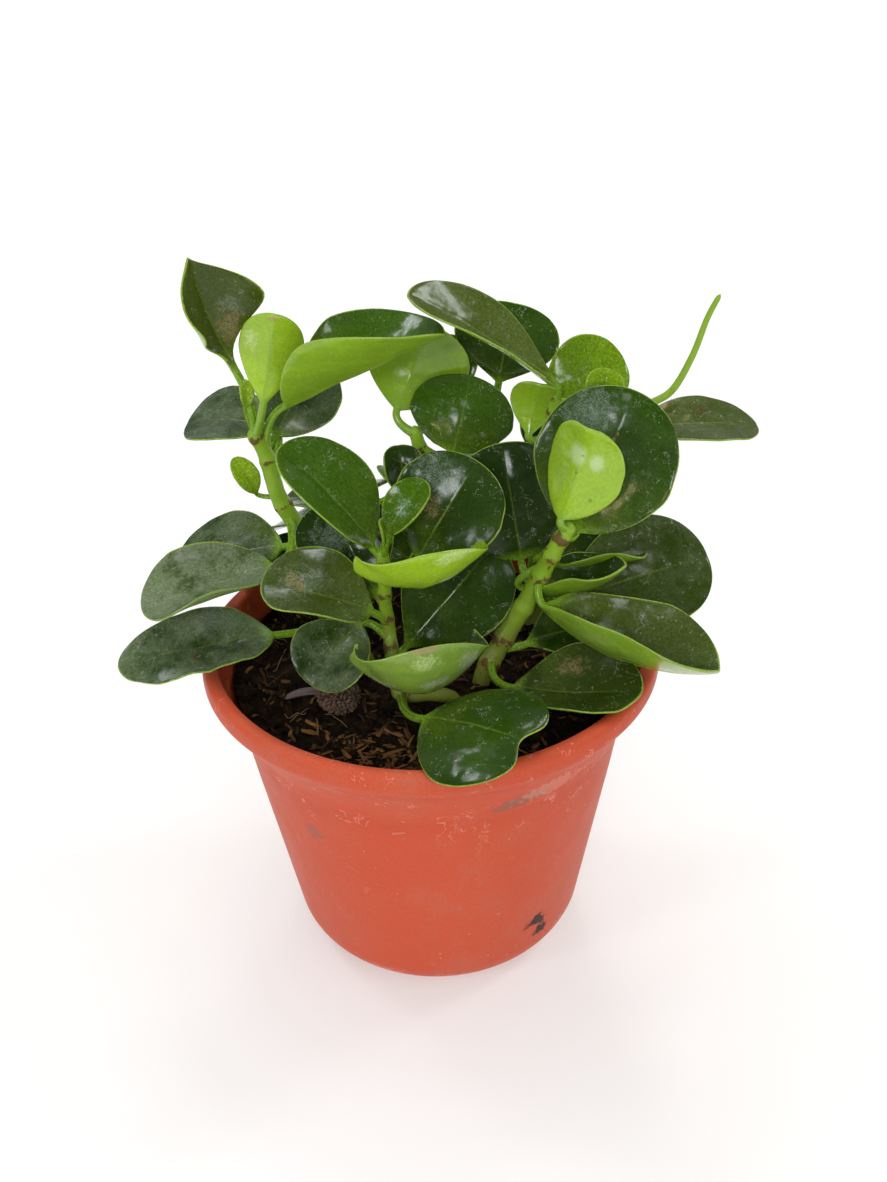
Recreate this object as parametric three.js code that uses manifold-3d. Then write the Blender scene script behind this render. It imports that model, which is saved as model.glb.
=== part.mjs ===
// A peperomia with thick glossy leaves in a flared plastic pot.
// Millimetres, +Z up, origin at the middle of the pot's flat bottom.
import * as THREE from 'three';
import { mergeVertices } from 'three/addons/utils/BufferGeometryUtils.js';
import Module from 'manifold-3d';

const wasm = await Module();
wasm.setup();

// Pot
const rimRadius = 90;
const potHeight = 137.5;
const baseRadius = 61.6;
const baseEdge = 19;
const neckRadius = 73.4;
const neckHeight = 86;
const ringHeight = 107;
const ringStep = 0.7;
const wall = 2.6;
const floorThickness = 3.2;
const lipInner = 83.7;
const lipDrop = 7;
const potSides = 40;
const drainRadius = 5;
const drainCircle = 30;
const drainCount = 4;

// Soil
const soilLevel = 126;
const soilRings = 6;
const soilSides = 30;
const clodAt = [-35, -29];
const clodSize = 8.5;
const chipCount = 18;
const chipThickness = 2.4;
const chipLength = [6, 11];
const chipReach = [18, 72];
const chipClear = 12;
const gap = 0.32;
const holeGap = 0.37;

// Plant
const stemSides = 8;
const stemStep = 2;
const spikeSides = 6;
const spikeRadius = [1.9, 1];
const leafColumns = 4;
const bladeHalf = 0.75;
const marginHalf = 0.42;

const colours = {
  pot: 0xcf5c42,
  soil: 0x2b211b,
  leaf: 0x2f5a24,
};

const vec = (p) => new THREE.Vector3(p[0], p[1], p[2]);
const smooth = (x) => {
  const t = Math.min(1, Math.max(0, x));
  return t * t * (3 - 2 * t);
};
const mix = (a, b, t) => a + (b - a) * t;
const radians = Math.PI / 180;

// A closed skin over rings of points. Each ring runs along its upper side and back along its lower side.
// The upper and lower quads are split alike, so that a thin waved blade keeps its thickness.
function skin(rings) {
  const count = rings[0].length;
  const half = count / 2;
  const points = rings.flat();
  const faces = [];
  for (let i = 0; i + 1 < rings.length; i++) {
    for (let k = 0; k < count; k++) {
      const a = i * count + k;
      const b = i * count + ((k + 1) % count);
      const c = b + count;
      const d = a + count;
      if (k < half) faces.push([a, b, c], [a, c, d]);
      else faces.push([a, b, d], [b, c, d]);
    }
  }
  const last = (rings.length - 1) * count;
  for (let k = 0; k + 1 < half; k++) {
    const m = count - 1 - k;
    faces.push([k, m, k + 1], [m, m - 1, k + 1]);
    faces.push([last + k, last + k + 1, last + m], [last + k + 1, last + m - 1, last + m]);
  }
  return { points, faces };
}

function solid({ points, faces }) {
  const vertProperties = new Float32Array(points.flatMap((p) => [p.x, p.y, p.z]));
  const triVerts = new Uint32Array(faces.flat());
  const made = new wasm.Manifold(new wasm.Mesh({ numProp: 3, vertProperties, triVerts }));
  if (made.volume() > 0) return made;
  const turned = new Uint32Array(faces.flatMap(([a, b, c]) => [a, c, b]));
  return new wasm.Manifold(new wasm.Mesh({ numProp: 3, vertProperties, triVerts: turned }));
}

function meshOf(name, body, colour, roughness) {
  const { vertProperties, triVerts } = body.getMesh();
  const geometry = new THREE.BufferGeometry();
  geometry.setAttribute('position', new THREE.BufferAttribute(new Float32Array(vertProperties), 3));
  geometry.setIndex(new THREE.BufferAttribute(new Uint32Array(triVerts), 1));
  geometry.computeVertexNormals();
  const material = new THREE.MeshStandardMaterial({ color: colour, roughness, metalness: 0 });
  const mesh = new THREE.Mesh(geometry, material);
  mesh.name = name;
  return mesh;
}

// A point on the smooth curve through a stem's points; 2.5 is half way from the third to the fourth.
function along(path, at) {
  const i = Math.min(path.length - 2, Math.max(0, Math.floor(at)));
  const t = at - i;
  const p1 = path[i];
  const p2 = path[i + 1];
  const p0 = i > 0 ? path[i - 1] : p1.clone().multiplyScalar(2).sub(p2);
  const p3 = i + 2 < path.length ? path[i + 2] : p2.clone().multiplyScalar(2).sub(p1);
  const point = new THREE.Vector3();
  for (const axis of ['x', 'y', 'z']) {
    const [a, b, c, d] = [p0[axis], p1[axis], p2[axis], p3[axis]];
    point[axis] = 0.5 * (2 * b + (c - a) * t + (2 * a - 5 * b + 4 * c - d) * t * t
      + (3 * b - a - 3 * c + d) * t * t * t);
  }
  return point;
}

const places = (from, to, steps) => Array.from({ length: steps + 1 }, (_, i) => mix(from, to, i / steps));

// A round tube round a path's curve at the given places, with a radius for each.
function tube(path, radiusAt, sides, stops) {
  const rings = [];
  let side = new THREE.Vector3(1, 0, 0);
  for (const at of stops) {
    const centre = along(path, at);
    const axis = along(path, at + 0.02).sub(along(path, at - 0.02)).normalize();
    side = side.addScaledVector(axis, -side.dot(axis)).normalize();
    const up = new THREE.Vector3().crossVectors(axis, side);
    const radius = radiusAt(at);
    const ring = [];
    for (let k = 0; k < sides; k++) {
      const angle = Math.PI * (1 - (2 * k + 1) / sides);
      ring.push(centre.clone().addScaledVector(side, radius * Math.cos(angle))
        .addScaledVector(up, radius * Math.sin(angle)));
    }
    rings.push(ring);
  }
  return solid(skin(rings));
}

// A leaf: a stalk that widens into a spoon-shaped blade, folded along its midrib and cupped at its sides.
// The heel is where the stalk becomes the blade. The face is the way the upper side looks.
function leaf(root, spec) {
  const { fold = 8, cup = 10, arch = 3, twist = 0, notch = 0, stalk = 1.5 } = spec;
  const { wedge = 1.1, widest = 0.56, point = 0 } = spec;
  const heel = vec(spec.heel);
  const chord = vec(spec.tip).sub(heel);
  const length = chord.length();
  const ahead = chord.clone().normalize();
  const face = vec(spec.face);
  face.addScaledVector(ahead, -face.dot(ahead)).normalize();
  const across = new THREE.Vector3().crossVectors(ahead, face);
  const small = length < 20;
  const stalkRows = small ? 1 : 2;
  const baseRows = small ? 2 : 3;
  const tipRows = small ? 2 : 3;
  const n = leafColumns;

  const midrib = (t) => heel.clone().addScaledVector(chord, t).addScaledVector(face, arch * 4 * t * (1 - t));
  const tangent = (t) => chord.clone().addScaledVector(face, arch * 4 * (1 - 2 * t)).normalize();

  // One point of the blade's section at the midrib place t, a distance x to the side of it
  const onBlade = (t, x, lift) => {
    const axis = tangent(t);
    const turn = twist * radians * (t - 0.4);
    const up = new THREE.Vector3().crossVectors(across, axis);
    const side = across.clone().multiplyScalar(Math.cos(turn)).addScaledVector(up, Math.sin(turn));
    const normal = up.multiplyScalar(Math.cos(turn)).addScaledVector(across, -Math.sin(turn));
    const s = Math.abs(x);
    const k = cup * radians * (0.5 + 0.5 * Math.sin(Math.PI * Math.min(1, t + 0.1))) / (spec.width / 2);
    const a0 = fold * radians * (1 - 0.4 * t);
    const a1 = a0 + k * s;
    const curved = Math.abs(k * s) > 1e-4;
    const sideways = curved ? (Math.sin(a1) - Math.sin(a0)) / k : s * Math.cos(a0);
    const upwards = curved ? (Math.cos(a0) - Math.cos(a1)) / k : s * Math.sin(a0);
    const out = Math.sign(x);
    return midrib(t)
      .addScaledVector(side, out * (sideways - lift * Math.sin(a1)))
      .addScaledVector(normal, upwards + lift * Math.cos(a1));
  };

  const rings = [];
  // Stalk
  const start = heel.clone().sub(root).length();
  const bend = heel.clone().addScaledVector(tangent(0), -0.45 * start);
  const frames = [];
  let normal = new THREE.Vector3().crossVectors(across, tangent(0));
  for (let i = stalkRows - 1; i >= 0; i--) {
    const q = i / stalkRows;
    const place = root.clone().multiplyScalar((1 - q) ** 2)
      .addScaledVector(bend, 2 * q * (1 - q)).addScaledVector(heel, q * q);
    const axis = bend.clone().sub(root).multiplyScalar(1 - q)
      .addScaledVector(heel.clone().sub(bend), q).normalize();
    normal = normal.clone().addScaledVector(axis, -normal.dot(axis)).normalize();
    frames.unshift({ place, axis, normal });
  }
  for (const { place, axis, normal: up } of frames) {
    const side = new THREE.Vector3().crossVectors(axis, up);
    const upper = [];
    const lower = [];
    for (let j = 0; j <= n; j++) {
      const angle = Math.PI * (1 - (j + 0.5) / (n + 1));
      const x = stalk * Math.cos(angle);
      const h = stalk * Math.sin(angle);
      upper.push(place.clone().addScaledVector(side, x).addScaledVector(up, h));
      lower.unshift(place.clone().addScaledVector(side, x).addScaledVector(up, -h));
    }
    rings.push([...upper, ...lower]);
  }
  // Blade, first with straight rows up to its widest place and then with rows that round into the tip
  for (let i = 0; i <= baseRows + tipRows; i++) {
    const upper = [];
    const lower = [];
    const c = Math.min(1, i / baseRows);
    const s = Math.max(0, (i - baseRows) / tipRows);
    const halfWidth = mix(stalk, spec.width / 2, Math.sin(c * Math.PI / 2) ** wedge);
    const round = 1 - smooth(i / (baseRows * 0.75));
    for (let j = 0; j <= n; j++) {
      const v = (2 * j) / n - 1;
      const angle = Math.PI * (1 - (j + 0.5) / (n + 1));
      let x = halfWidth * v * Math.sqrt(1 - s * s / 2);
      let t = widest * c + (1 - widest) * s * Math.sqrt(1 - v * v / 2);
      t -= (notch / length) * s ** 3 * Math.exp(-((x / (0.16 * spec.width)) ** 2));
      x *= 1 - point * Math.max(0, (t - widest) / (1 - widest)) ** 1.5;
      x = mix(x, stalk * Math.cos(angle), round * (1 - c));
      const h = mix(mix(bladeHalf, marginHalf, v * v), stalk * Math.sin(angle), round);
      upper.push(onBlade(t, x, h));
      lower.unshift(onBlade(t, x, -h));
    }
    rings.push([...upper, ...lower]);
  }
  return solid(skin(rings));
}

// The leafy stems. Each path starts in the soil; a leaf's "at" is its place on that path.
const stems = {
  leafy_stem_left: {
    path: [[-40, 20, 102], [-41, 20, 126], [-45, 20, 147], [-50, 20, 173], [-57, 20, 190],
      [-60, 20, 207], [-63, 18, 217]],
    radius: [4, 2.9],
    leaves: [
      { at: 6, heel: [-67.5, 17, 243], tip: [-79, 13, 287], face: [0.74, -0.66, 0.1],
        width: 47, fold: 20, cup: 66, arch: -3, wedge: 3.2, widest: 0.55, point: 0.95 },
      { at: 6, heel: [-58, 12, 233], tip: [-50, 7, 268], face: [-0.1, 0.93, -0.33],
        width: 24, fold: 4, cup: 22 },
      { at: 6, heel: [-65.2, 15.9, 230.2], tip: [-65, 17, 240], face: [0.3, -0.8, 0.3],
        width: 6, fold: 35, stalk: 0.9 },
      { at: 4.8, heel: [-59, 32, 213], tip: [-92, 37, 214], face: [0, -0.15, 1], width: 40, wedge: 0.8 },
      { at: 5.2, heel: [-57, 29, 212], tip: [-40, 45, 236], face: [0.2, -0.75, 0.65],
        width: 34, wedge: 0.8 },
      { at: 5, heel: [-50, 16, 230], tip: [9, 4, 260], face: [-0.1, 0.08, 1],
        width: 54, fold: 32, cup: 44, arch: 0, widest: 0.4, wedge: 0.7, point: 0.2 },
      { at: 4, heel: [-66, 22, 191], tip: [-73, 20, 207], face: [0.3, -0.8, 0.5],
        width: 10, fold: 15, stalk: 0.9 },
      { at: 3.2, heel: [-59, 30, 162], tip: [-107, 36, 147], face: [0, -0.35, 1],
        width: 42, arch: 3, widest: 0.42, wedge: 0.7 },
      { at: 3.5, heel: [-59, 1, 169.5], tip: [-109, -12, 160.5], face: [-0.12, -0.22, 0.96],
        width: 40, fold: 2, cup: 68, arch: 0, wedge: 0.6, widest: 0.6 },
    ],
  },
  leafy_stem_low_left: {
    path: [[-22, -8, 104], [-24, -7, 128], [-32, -5, 140], [-45, -4, 143]],
    radius: [2.8, 2.2],
    leaves: [
      { at: 3, heel: [-61, -8, 144], tip: [-117, -28, 144], face: [-0.1, -0.34, 0.93],
        width: 33, fold: 6, cup: 26, arch: 2, twist: 20, widest: 0.34, wedge: 0.7, point: 0 },
    ],
  },
  leafy_stem_front: {
    path: [[10, -27, 102], [9, -28, 124], [1, -32, 131], [-11, -34, 133], [-14, -28, 141],
      [-15, -20, 151], [-16, -19, 162], [-16, -19, 172], [-16, -19, 184]],
    radius: [2.9, 2.3],
    leaves: [
      { at: 5.4, heel: [-21, -22, 162], tip: [-61, -22, 176], face: [0, -0.36, 0.93],
        width: 37, wedge: 0.8, widest: 0.5, fold: 10, cup: 48, arch: 2 },
      { at: 4.8, heel: [-26, -18, 154], tip: [-44, -36, 139], face: [-0.3, -0.6, 0.8],
        width: 34, wedge: 0.8 },
      { at: 8, heel: [-20, -18, 188], tip: [-51, -14, 226], face: [0.5, -0.45, 0.72],
        width: 36, fold: 26, cup: 12, widest: 0.48, wedge: 0.9 },
      { at: 6, heel: [-20, -8, 162], tip: [-40, 10, 192], face: [-0.1, -0.5, 0.86],
        width: 40, fold: 15, cup: 15 },
      { at: 8, heel: [-13.5, -21.5, 194], tip: [1, -17, 213], face: [-0.44, -0.73, 0.52],
        width: 16, fold: 14, cup: 20 },
      { at: 8, heel: [-16, -19, 188], tip: [-16, -19, 200], face: [0.5, -0.7, 0.3],
        width: 6, fold: 35, stalk: 0.9 },
      { at: 7, heel: [-3, -14, 180], tip: [20, -4, 214], face: [-0.05, -0.75, 0.65],
        width: 43, wedge: 0.9 },
      { at: 7, heel: [-9, -29, 181], tip: [8, -48, 202], face: [-0.3, 0.7, 0.68],
        width: 61, fold: 2, cup: 52, arch: -7, wedge: 0.2, widest: 0.5, point: 0 },
      { at: 4.4, heel: [-9, -12, 140], tip: [27, 7, 174], face: [0.1, -0.75, 0.65], width: 44 },
      { at: 3.4, heel: [-11, -31, 141.5], tip: [5, -57, 170], face: [-0.2, 0.72, 0.68],
        width: 67, fold: 2, cup: 80, arch: -12, wedge: 0.15, widest: 0.5, point: 0 },
      { at: 3, heel: [-2, -61, 141], tip: [36, -91, 150], face: [0.03, -0.27, 0.96],
        width: 50, fold: -1, cup: -19, notch: 7, wedge: 0.7, widest: 0.5 },
    ],
  },
  leafy_stem_right: {
    path: [[20, -15, 102], [20, -15, 124], [27, -12, 139], [36, -12, 156], [43, -13, 172],
      [48, -15, 184], [52, -15, 191]],
    radius: [4.4, 2.8],
    leaves: [
      { at: 5.5, heel: [56, -8, 186], tip: [78, 10, 234], face: [-0.1, -0.8, 0.6],
        width: 53, fold: 5, cup: 8, wedge: 0.65, widest: 0.5 },
      { at: 6, heel: [49, -18, 197], tip: [57, -21, 234], face: [0.5, 0.83, -0.15],
        width: 34, fold: 26, cup: 16, widest: 0.42, wedge: 0.7 },
      { at: 4.4, heel: [55, 0, 151], tip: [110, 10, 163], face: [0.05, -0.65, 0.75], width: 47, wedge: 0.7 },
      { at: 4.2, heel: [37, -5, 160], tip: [75, -9, 172], face: [0, 0.1, 1],
        width: 35, fold: 24, cup: 52, wedge: 0.45, widest: 0.5, arch: -7 },
      { at: 4.6, heel: [47, 6, 164], tip: [86, 13, 165], face: [0, 0, 1],
        width: 33, fold: 22, cup: 56, wedge: 0.5, widest: 0.66, arch: -3 },
      { at: 3.9, heel: [43, -19, 161], tip: [105, -46, 147.5], face: [0, 0.08, 1],
        width: 51, fold: 44, cup: 34, arch: -10, wedge: 0.45, widest: 0.66 },
      { at: 1.6, heel: [31, -34, 134], tip: [77, -49, 142], face: [0, -0.14, 1],
        width: 42, wedge: 0.8, widest: 0.5, fold: 12, cup: 34, arch: -2 },
      { at: 1.9, heel: [38, -10, 138], tip: [74, 0, 138], face: [0.1, -0.3, 1], width: 34 },
      { at: 3.5, heel: [36, 4, 168], tip: [29, 18, 211], face: [0.05, -0.8, 0.6], width: 48, wedge: 0.6 },
    ],
  },
  leafy_stem_middle: {
    path: [[0, 28, 102], [0, 28, 130], [0, 28, 155], [-1, 29, 182], [-1, 30, 199],
      [-3, 30, 210]],
    radius: [3.8, 2.6],
    leaves: [
      { at: 4.5, heel: [11, 24, 205], tip: [19, 39, 230], face: [0.1, -0.75, 0.66],
        width: 43, fold: -4, cup: -26, arch: 5, wedge: 0.5, widest: 0.5 },
      { at: 5, heel: [-10, 34, 219], tip: [4, 42, 250], face: [0, 0.9, -0.35],
        width: 43, fold: 6, cup: 18, wedge: 0.9 },
      { at: 5, heel: [7, 48, 218], tip: [14, 56, 240], face: [0.1, -0.8, 0.5], width: 22 },
      { at: 4, heel: [-9, 8, 197], tip: [-10, 12, 214], face: [0.3, -0.8, 0.3],
        width: 18, fold: 30 },
      { at: 1.8, heel: [-8, 36, 150], tip: [-27, 44, 160], face: [0, -0.5, 0.85], width: 28 },
    ],
  },
  leafy_stem_back_right: {
    path: [[42, 26, 102], [43, 25, 130], [44, 24, 165], [46, 24, 196], [48, 25, 212],
      [50, 24, 225]],
    radius: [3.8, 2.5],
    leaves: [
      { at: 5, heel: [50, 22, 232], tip: [-4, 13, 271], face: [0, -0.25, 1],
        width: 34, fold: 20, cup: 22, arch: 2 },
      { at: 4.6, heel: [48, 30, 226], tip: [78, 36, 234], face: [0, -0.75, 0.65],
        width: 31, cup: 20, wedge: 0.7, widest: 0.5 },
      { at: 5, heel: [66, 20, 227], tip: [69, 19, 239], face: [0, -0.9, 0.4],
        width: 16, fold: 20, cup: 20, stalk: 1 },
      { at: 3.8, heel: [40, 21, 213], tip: [44, 19, 234], face: [0, 0.9, -0.3],
        width: 20, fold: 10, cup: 20 },
      { at: 3.3, heel: [78, 31, 207], tip: [131, 36, 206], face: [0.05, -0.2, 1], width: 31, arch: 3 },
      { at: 2.8, heel: [44, 33, 198], tip: [48, 42, 217], face: [0, -0.8, 0.5], width: 18 },
    ],
    spike: [[47, 24, 200], [58, 24, 205], [72, 23, 210], [84, 24, 221], [94, 25, 227],
      [101, 26, 240], [106, 28, 254], [110, 28, 263]],
  },
  leafy_stem_back_left: {
    path: [[-26, 46, 102], [-27, 47, 130], [-25, 50, 152], [-22, 52, 168]],
    radius: [3.4, 2.6],
    leaves: [
      { at: 2, heel: [-36, 60, 155], tip: [-72, 76, 144], face: [-0.2, 0.3, 1], width: 38 },
      { at: 3, heel: [-26, 66, 168], tip: [-34, 99, 152], face: [0, 0.5, 0.9], width: 40 },
      { at: 3, heel: [-12, 60, 171], tip: [0, 87, 162], face: [0, 0.1, 1], width: 36 },
      { at: 2.6, heel: [-36, 50, 166], tip: [-60, 56, 170], face: [0, 0.1, 1], width: 28 },
      { at: 1.4, heel: [-38, 46, 144], tip: [-80, 52, 140], face: [-0.1, -0.1, 1], width: 34 },
    ],
  },
  leafy_stem_back: {
    path: [[17, 54, 102], [18, 54, 130], [21, 57, 160], [25, 55, 190], [28, 50, 206]],
    radius: [3.6, 2.4],
    leaves: [
      { at: 4, heel: [30, 47, 224], tip: [37, 57, 252], face: [-0.1, -0.85, 0.5], width: 42 },
      { at: 2, heel: [34, 70, 166], tip: [54, 98, 154], face: [0.2, 0.4, 0.9], width: 40 },
      { at: 2.4, heel: [16, 74, 174], tip: [8, 104, 165], face: [0, 0.4, 0.9], width: 38 },
      { at: 3, heel: [42, 60, 186], tip: [76, 72, 190], face: [0.1, 0, 1], width: 38 },
      { at: 1.5, heel: [34, 60, 141], tip: [62, 72, 136], face: [0.1, 0.2, 1], width: 34 },
    ],
  },
};

// A three.js geometry as a solid: its shared points are merged and faces of no area dropped.
function fromGeometry(geometry) {
  geometry.deleteAttribute('normal');
  geometry.deleteAttribute('uv');
  const merged = mergeVertices(geometry, 1e-4);
  const { array } = merged.getAttribute('position');
  const index = merged.getIndex().array;
  const points = [];
  for (let i = 0; i < array.length; i += 3) points.push(vec(array.slice(i, i + 3)));
  const faces = [];
  for (let i = 0; i < index.length; i += 3) {
    const [a, b, c] = [index[i], index[i + 1], index[i + 2]];
    if (a !== b && b !== c && c !== a) faces.push([a, b, c]);
  }
  return solid({ points, faces });
}

const turned = (profile, sides) =>
  new THREE.LatheGeometry(profile.map(([r, z]) => new THREE.Vector2(r, z)), sides).rotateX(Math.PI / 2);

// Pot: one closed profile turned round the axis, with drain holes through its floor
const ringRadius = neckRadius + 0.16 * (ringHeight - neckHeight);
const outside = [[0, 0], [baseRadius - baseEdge, 0]];
for (let k = 1; k <= 4; k++) {
  const angle = (k / 4) * 82 * radians;
  outside.push([baseRadius - baseEdge * (1 - Math.sin(angle)), baseEdge * (1 - Math.cos(angle))]);
}
outside.push([neckRadius, neckHeight], [ringRadius, ringHeight], [ringRadius + ringStep, ringHeight + 1]);
outside.push([78.7, 113], [81.7, 120], [85.6, 125.4], [88.7, 128.2]);
const lip = [[rimRadius, 130.6], [rimRadius, 134.4], [89.3, 136.5], [87.4, potHeight], [85.2, 137.3],
  [lipInner, 136]];
const inside = [[82.4, potHeight - lipDrop], [80.4, 124], [77.8, 117], [ringRadius - wall, ringHeight],
  [neckRadius - wall, neckHeight], [baseRadius - wall, baseEdge + 2],
  [baseRadius - baseEdge, floorThickness]];

function potBody() {
  let pot = fromGeometry(turned([...outside, ...lip, ...inside, [0, floorThickness]], potSides));
  for (let k = 0; k < drainCount; k++) {
    const angle = ((k + 0.5) / drainCount) * 2 * Math.PI;
    const hole = new THREE.CylinderGeometry(drainRadius, drainRadius, 4 * floorThickness, 12);
    hole.rotateX(Math.PI / 2);
    hole.translate(drainCircle * Math.cos(angle), drainCircle * Math.sin(angle), 0);
    pot = pot.subtract(fromGeometry(hole));
  }
  return pot;
}

// Soil: it fills the pot to below the lip, with an uneven top, a clod and wood chips on it,
// and a plain hole for each stem
const soilHeight = (x, y) => soilLevel - 1.2 + 0.8 * Math.sin(x / 9 + 1) * Math.cos(y / 11)
  + 0.5 * Math.sin((x + y) / 5.3) + 0.4 * Math.cos((x - 2 * y) / 6.1);

function soilBody() {
  const side = inside.slice(1).reverse().map(([r, z]) => [r - gap, z]);
  side[0] = [baseRadius - baseEdge - gap, floorThickness + gap];
  const edge = side[side.length - 1][0];
  const top = [];
  for (let k = 0; k < soilRings; k++) top.push([edge * (1 - (k + 0.6) / (soilRings + 0.1)), soilLevel]);
  const geometry = turned([[0, floorThickness + gap], ...side, ...top, [0, soilLevel]], soilSides);
  const place = geometry.getAttribute('position');
  for (let i = 0; i < place.count; i++) {
    if (place.getZ(i) > soilLevel - 0.01) place.setZ(i, soilHeight(place.getX(i), place.getY(i)));
  }
  let soil = fromGeometry(geometry);
  const clod = new THREE.IcosahedronGeometry(clodSize, 2);
  const bumps = clod.getAttribute('position');
  for (let i = 0; i < bumps.count; i++) {
    const p = new THREE.Vector3().fromBufferAttribute(bumps, i);
    const swell = 1 + 0.07 * Math.sin(p.x * 0.9 + 1) * Math.cos(p.y * 1.1) + 0.05 * Math.sin(p.z * 1.3 + p.x);
    bumps.setXYZ(i, p.x * swell, p.y * swell, p.z * swell * 0.85);
  }
  clod.translate(clodAt[0], clodAt[1], soilLevel + 0.45 * clodSize);
  soil = soil.add(fromGeometry(clod));
  for (let k = 0; k < chipCount; k++) {
    const angle = k * 2.4;
    const reach = mix(chipReach[0], chipReach[1], Math.sqrt((k + 0.5) / chipCount));
    const [x, y] = [reach * Math.cos(angle), reach * Math.sin(angle)];
    const feet = Object.values(stems).map(({ path }) => Math.hypot(x - path[1][0], y - path[1][1]));
    if (Math.min(...feet) < chipClear) continue;
    const length = mix(chipLength[0], chipLength[1], ((k * 7) % 5) / 4);
    const chip = new THREE.BoxGeometry(length, chipThickness, chipThickness);
    chip.rotateY(0.12 * Math.sin(k));
    chip.rotateZ(k * 1.9);
    chip.translate(x, y, soilHeight(x, y) + 0.1);
    soil = soil.add(fromGeometry(chip));
  }
  return soil;
}

// The radius at each place of a path that tapers from one end to the other
const taper = (radii, path) => (at) => mix(radii[0], radii[1], at / (path.length - 1));
const wholeTube = (path, radii, sides) =>
  tube(path, taper(radii, path), sides, places(0, path.length - 1, (path.length - 1) * stemStep));

function leafyStem(stem) {
  const path = stem.path.map(vec);
  let body = wholeTube(path, stem.radius, stemSides);
  for (const spec of stem.leaves) body = body.add(leaf(along(path, spec.at), spec));
  if (stem.spike) body = body.add(wholeTube(stem.spike.map(vec), spikeRadius, spikeSides));
  return body;
}

// The hole that a stem stands in: the stem's own stretch in the soil, wider all round
function stemHole(stem) {
  const path = stem.path.map(vec);
  const deep = gap / (path[1].z - path[0].z);
  const radius = (at) => taper(stem.radius, path)(at) + holeGap;
  return tube(path, radius, stemSides, [-deep, 0, 0.5, 1, 1.5]);
}

const plant = new THREE.Group();
plant.add(meshOf('pot', potBody(), colours.pot, 0.5));

let soil = soilBody();
for (const stem of Object.values(stems)) soil = soil.subtract(stemHole(stem));
plant.add(meshOf('soil', soil, colours.soil, 0.95));

for (const [name, stem] of Object.entries(stems)) {
  plant.add(meshOf(name, leafyStem(stem), colours.leaf, 0.3));
}

export default plant;
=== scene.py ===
# A peperomia with thick glossy leaves in a flared plastic pot
import math
import random
import bmesh
import bpy
from mathutils import Matrix, Vector, noise


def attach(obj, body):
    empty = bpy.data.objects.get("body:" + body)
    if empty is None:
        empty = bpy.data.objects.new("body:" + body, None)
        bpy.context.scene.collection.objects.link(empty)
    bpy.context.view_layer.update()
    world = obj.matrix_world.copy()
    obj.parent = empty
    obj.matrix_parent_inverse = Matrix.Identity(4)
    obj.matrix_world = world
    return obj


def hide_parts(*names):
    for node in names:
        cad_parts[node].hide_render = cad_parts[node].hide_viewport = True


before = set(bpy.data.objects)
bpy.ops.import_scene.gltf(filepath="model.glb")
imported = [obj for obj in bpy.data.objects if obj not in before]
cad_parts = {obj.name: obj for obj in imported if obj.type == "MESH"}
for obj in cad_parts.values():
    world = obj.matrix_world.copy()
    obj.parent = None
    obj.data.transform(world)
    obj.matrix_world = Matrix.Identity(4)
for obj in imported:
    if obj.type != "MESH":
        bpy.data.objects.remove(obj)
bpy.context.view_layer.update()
mm = 0.001
radians = math.pi / 180

# Camera, from above the front rim, turned a little clockwise
cameraSet = {
    "target": (5.8, 0, 157), "distance": 510, "elevation": 31.25, "roll": -1.75, "lens": 40, "sensor": 36,
}


def intoScene(thing):
    bpy.context.scene.collection.objects.link(thing)
    return thing


def makeCamera():
    data = bpy.data.cameras.new("camera")
    data.lens = cameraSet["lens"]
    data.sensor_fit = "VERTICAL"
    data.sensor_height = cameraSet["sensor"]
    camera = intoScene(bpy.data.objects.new("camera", data))
    lift = cameraSet["elevation"] * radians
    roll = cameraSet["roll"] * radians
    ahead = Vector((0, math.cos(lift), -math.sin(lift)))
    rise = Vector((0, math.sin(lift), math.cos(lift)))
    level = Vector((1, 0, 0))
    right = level * math.cos(roll) + rise * math.sin(roll)
    up = rise * math.cos(roll) - level * math.sin(roll)
    place = (Vector(cameraSet["target"]) - ahead * cameraSet["distance"]) * mm
    turn = Matrix((right, up, -ahead)).transposed().to_4x4()
    camera.matrix_world = Matrix.Translation(place) @ turn
    bpy.context.scene.camera = camera


makeCamera()
print("camera placed")


# Node helpers

def addNode(tree, kind, inputs=None, **settings):
    node = tree.nodes.new(kind)
    for key, value in settings.items():
        setattr(node, key, value)
    for key, value in (inputs or {}).items():
        if isinstance(value, bpy.types.NodeSocket):
            tree.links.new(value, node.inputs[key])
        else:
            node.inputs[key].default_value = value
    return node


def newGroup(name, vectors, numbers, masks):
    group = bpy.data.node_groups.new(name, "ShaderNodeTree")
    for key in vectors:
        group.interface.new_socket(name=key, in_out="INPUT", socket_type="NodeSocketVector")
    for key, default in numbers.items():
        socket = group.interface.new_socket(name=key, in_out="INPUT", socket_type="NodeSocketFloat")
        socket.default_value = default
    for key in masks:
        group.interface.new_socket(name=key, in_out="OUTPUT", socket_type="NodeSocketFloat")
    start = group.nodes.new("NodeGroupInput")
    end = group.nodes.new("NodeGroupOutput")
    return group, start.outputs, end.inputs


def useGroup(tree, group, **inputs):
    return addNode(tree, "ShaderNodeGroup", inputs, node_tree=group).outputs


def maskOf(tree, group, place, **inputs):
    return useGroup(tree, group, Vector=place, **inputs)["Mask"]


def maths(tree, operation, a, b=0.0, clamp=False):
    return addNode(tree, "ShaderNodeMath", {0: a, 1: b}, operation=operation, use_clamp=clamp).outputs[0]


def times(tree, a, b, clamp=False):
    return maths(tree, "MULTIPLY", a, b, clamp)


def plus(tree, a, b, clamp=False):
    return maths(tree, "ADD", a, b, clamp)


def spread(tree, value, size):  # a mask of 0 to 1 becomes a push to both sides of nothing
    return times(tree, maths(tree, "SUBTRACT", value, 0.5), size)


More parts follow.
